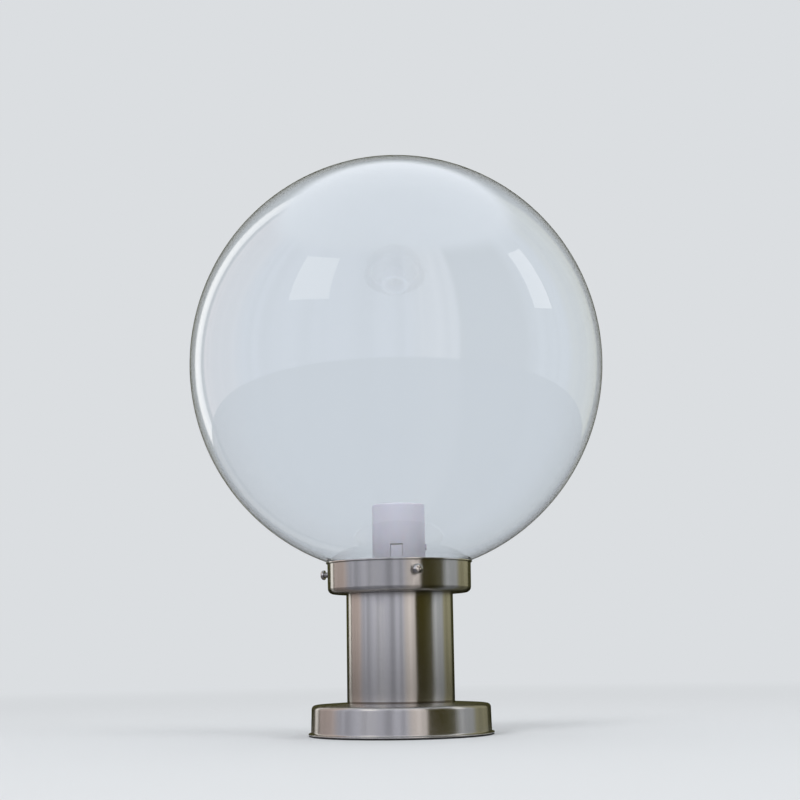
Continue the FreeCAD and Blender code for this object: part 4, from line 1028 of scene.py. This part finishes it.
@dataclass
class Surround:
    """A round screen of plain cards that only reflections see, as a studio sets for metal.

    Bearings are positive to the viewer's right. The screen's foot runs in over the floor, so
    that brushed metal, which spreads a reflection upright, meets one card at each bearing. It
    is dim there, as ground is, and its lid is a pale ceiling.
    """

    radius: float = 2.4
    foot: float = 0.07
    dim_under: float = 0.02     # the screen is dim below this height
    dim: float = 0.17
    lift: float = 0.5 * MM
    high: float = 4.5
    strength: float = 2.0
    ceiling: str = "#F1F4F9"
    ceiling_from: float = 2.6
    ceiling_full: float = 3.6
    ceiling_strength: float = 1.7
    streak: float = 6.0         # streaks in a radian of bearing
    streak_low: float = 0.65
    streak_high: float = 1.3
    cards: tuple[Card, ...] = (
        Card(-180, "#36351F"), Card(-142, "#F0EDE8"), Card(-131, "#5A544C"),
        Card(-126, "#BFB2AE"), Card(-92, "#B8BBC8", 6), Card(10, "#E8E2E0", 4),
        Card(33, "#47421D", 1), Card(57, "#4A4830", 8), Card(75, "#ABB0B5", 4),
        Card(106, "#8C8A72", 3), Card(142, "#33321F", 2))

    def build(self) -> None:
        """Turn the screen and colour its cards."""
        screen = lathe("surround", [
            Corner(self.foot, self.lift), Corner(self.radius, self.lift),
            Corner(self.radius, self.high), Corner(self.lift, self.high),
            Corner(self.lift, self.high + self.lift),
            Corner(self.radius + self.lift, self.high + self.lift),
            Corner(self.radius + self.lift, self.lift / 2), Corner(self.foot, self.lift / 2)],
            steps=96)
        paint = bpy.data.materials.new("surround")
        tree = fresh_tree(paint)
        place = add_node(tree, "TexCoord").outputs["Object"]
        parts = add_node(tree, "SeparateXYZ", {0: place}).outputs
        ahead = add_node(tree, "Math", {0: parts["Y"], 1: -1.0}, operation="MULTIPLY")
        bearing = add_node(tree, "Math", {0: parts["X"], 1: ahead}, operation="ARCTAN2")
        share = add_node(tree, "MapRange",
                         {"Value": bearing, "From Min": -math.pi, "From Max": math.pi})
        ramp = add_node(tree, "ValToRGB", {"Fac": share})
        self.set_stops(ramp.color_ramp.elements)
        wall = add_node(tree, "Emission", {"Color": ramp, "Strength": self.level(tree, parts)})
        lid = add_node(tree, "Emission", {"Color": linear(self.ceiling),
                                          "Strength": self.ceiling_strength})
        raised = add_node(tree, "MapRange", {
            "Value": parts["Z"], "From Min": self.ceiling_from,
            "From Max": self.ceiling_full}, interpolation_type="SMOOTHSTEP")
        both = add_node(tree, "MixShader", {0: raised, 1: wall, 2: lid})
        add_node(tree, "OutputMaterial", {"Surface": both})
        screen.data.materials.append(paint)
        show_to_mirrors_only(screen)

    def level(self, tree: Tree, parts: Mapping[str, Socket]) -> Node:
        """Return the screen's strength: streaked by bearing, and dim at its foot.

        Args:
            tree: The screen's node tree.
            parts: The screen's place, as X, Y and Z.

        Returns:
            The node that gives the strength.
        """
        flat = add_node(tree, "CombineXYZ", {"X": parts["X"], "Y": parts["Y"]})
        heading = add_node(tree, "VectorMath", {0: flat}, operation="NORMALIZE")
        noise = add_node(tree, "TexNoise", {"Vector": heading, "Scale": self.streak,
                                            "Detail": 3.0, "Roughness": 0.6})
        streaks = add_node(tree, "MapRange", {
            "Value": noise, "From Min": NOISE_LOW, "From Max": NOISE_HIGH,
            "To Min": self.streak_low * self.strength,
            "To Max": self.streak_high * self.strength})
        upright = add_node(tree, "MapRange", {
            "Value": parts["Z"], "From Min": 0.0, "From Max": self.dim_under,
            "To Min": self.dim, "To Max": 1.0})
        return add_node(tree, "Math", {0: streaks, 1: upright}, operation="MULTIPLY")

    def set_stops(self, stops: bpy.types.ColorRampElements) -> None:
        """Give each card its stretch of the ramp, with a short change between two."""
        first, *later = self.cards
        stops[0].color = linear(first.colour)
        before = first
        for card in later:
            for side, colour in ((-1, before.colour), (1, card.colour)):
                at = (card.bearing + 180 + side * card.soften) / 360
                stops.new(at).color = linear(colour)
            before = card
        stops[len(stops) - 1].color = linear(before.colour)


@dataclass
class Softbox:
    """A pale panel in front of the surround, whose reflection draws the glass's curve."""

    name: str
    bearing: float
    wide: float
    low: float
    high: float
    colour: str = "#FFFFFF"
    strength: float = 2.6
    radius: float = 2.3

    def build(self) -> None:
        """Curve the panel and light it."""
        start = math.radians(self.bearing - self.wide / 2 - 90)
        skin = self.radius + MM
        panel = lathe(self.name, [
            Corner(self.radius, self.low), Corner(skin, self.low), Corner(skin, self.high),
            Corner(self.radius, self.high)], steps=12, sweep=math.radians(self.wide), start=start)
        paint = bpy.data.materials.new(self.name)
        tree = fresh_tree(paint)
        shine = add_node(tree, "Emission", {"Color": linear(self.colour),
                                            "Strength": self.strength})
        add_node(tree, "OutputMaterial", {"Surface": shine})
        panel.data.materials.append(paint)
        show_to_mirrors_only(panel)


def show_to_mirrors_only(piece: Piece) -> None:
    """Stage a piece that only reflections see."""
    piece.visible_camera = False
    piece.visible_diffuse = False
    piece.visible_transmission = False
    piece.visible_volume_scatter = False
    piece.visible_shadow = False


@dataclass
class Studio:
    """A plain pale floor and background, soft lamps, the surround and the camera."""

    background: str = "#DBDEE1"
    floor: str = "#DADDE0"
    floor_radius: float = 6.0
    fade_from: float = 0.35
    fade_to: float = 1.6
    world_light: float = 0.55
    lens: float = 67.5
    camera_across: float = 2.5 * MM
    camera_back: float = 1.081
    camera_height: float = 0.059
    camera_pitch: float = math.radians(9.46)
    camera_roll: float = math.radians(0.9)
    lamps_aim: float = 0.2

    def build(self) -> None:
        """Set the room, the lamps, the surround and the camera."""
        self.lay_floor()
        self.light_world()
        self.lamp("lamp_key", (-1.5, -1.7, 1.7), size=1.1, power=26)
        self.lamp("lamp_fill", (1.9, -1.1, 1.1), size=1.2, power=15)
        self.lamp("lamp_top", (0.1, 0.5, 2.2), size=1.4, power=12)
        Surround().build()
        Softbox("softbox_key", bearing=-48, wide=24, low=1.3, high=2.6).build()
        Softbox("softbox_fill", bearing=88, wide=14, low=1.1, high=2.4).build()
        self.set_camera()
        bpy.context.scene.view_settings.view_transform = "Standard"

    def lay_floor(self) -> None:
        """Lay a round floor that fades into the background away from the light."""
        deselect()
        bpy.ops.mesh.primitive_circle_add(vertices=96, radius=self.floor_radius,
                                          fill_type="NGON")
        floor = take("floor")
        sheet = bpy.data.materials.new("pale_floor")
        tree = fresh_tree(sheet)
        place = add_node(tree, "TexCoord").outputs["Object"]
        away = add_node(tree, "VectorMath", {0: place}, operation="LENGTH")
        fade = add_node(tree, "MapRange", {
            "Value": away, "From Min": self.fade_from, "From Max": self.fade_to},
            interpolation_type="SMOOTHSTEP")
        matt = add_node(tree, "BsdfDiffuse", {"Color": linear(self.floor)})
        glow = add_node(tree, "Emission", {"Color": linear(self.background)})
        share = add_node(tree, "Math", {0: fade, 1: self.seen_ray(tree)}, operation="MULTIPLY")
        both = add_node(tree, "MixShader", {0: share, 1: matt, 2: glow})
        add_node(tree, "OutputMaterial", {"Surface": both})
        floor.data.materials.append(sheet)

    @staticmethod
    def seen_ray(tree: Tree) -> Node:
        """Return 1 where the camera, a mirror or a glass looks, and 0 for plain light."""
        path = add_node(tree, "LightPath").outputs
        first = add_node(tree, "Math", {0: path["Is Camera Ray"], 1: path["Is Glossy Ray"]},
                         operation="ADD")
        return add_node(tree, "Math", {0: first, 1: path["Is Transmission Ray"]},
                        operation="ADD", use_clamp=True)

    def light_world(self) -> None:
        """Show the pale background to what looks, and light the rest softly."""
        world = bpy.data.worlds.new("studio")
        tree = fresh_tree(world)
        soft = add_node(tree, "Background", {"Color": linear("#FFFFFF"),
                                             "Strength": self.world_light})
        shown = add_node(tree, "Background", {"Color": linear(self.background)})
        both = add_node(tree, "MixShader", {0: self.seen_ray(tree), 1: soft, 2: shown})
        add_node(tree, "OutputWorld", {"Surface": both})
        bpy.context.scene.world = world

    def lamp(self, name: str, spot: Sequence[float], size: float, power: float) -> None:
        """Hang a square soft lamp, aimed at the light's middle.

        Args:
            name: The lamp's name.
            spot: Where it hangs.
            size: Its side.
            power: Its power in watts.
        """
        data = bpy.data.lights.new(name, "AREA")
        data.size = size
        data.energy = power
        lamp = bpy.data.objects.new(name, data)
        lamp.location = spot
        aim = Vector((0, 0, self.lamps_aim)) - Vector(spot)
        lamp.rotation_euler = aim.to_track_quat("-Z", "Y").to_euler()
        lamp.visible_glossy = False
        lamp.visible_transmission = False
        bpy.context.scene.collection.objects.link(lamp)

    def set_camera(self) -> None:
        """Set the camera low in front of the light, looking up at it."""
        data = bpy.data.cameras.new("camera")
        data.lens = self.lens
        camera = bpy.data.objects.new("camera", data)
        aim = Vector((0, math.cos(self.camera_pitch), math.sin(self.camera_pitch)))
        level = aim.to_track_quat("-Z", "Y").to_matrix().to_4x4()
        spot = Matrix.Translation(
            (self.camera_across, -self.camera_back, self.camera_height))
        camera.matrix_world = spot @ level @ Matrix.Rotation(-self.camera_roll, 4, "Z")
        bpy.context.scene.collection.objects.link(camera)
        bpy.context.scene.camera = camera


def main() -> None:
    """Build the light and its studio."""
    logging.basicConfig(level=logging.INFO, format="%(name)s: %(message)s")
    for assembly in (Base(), Column(), Gallery(), GalleryScrews(), Globe(), Lampholder()):
        assembly.build()
        assembly.report()
    HiddenWorks().build()
    Studio().build()
    deselect()


if __name__ == "__main__":
    main()
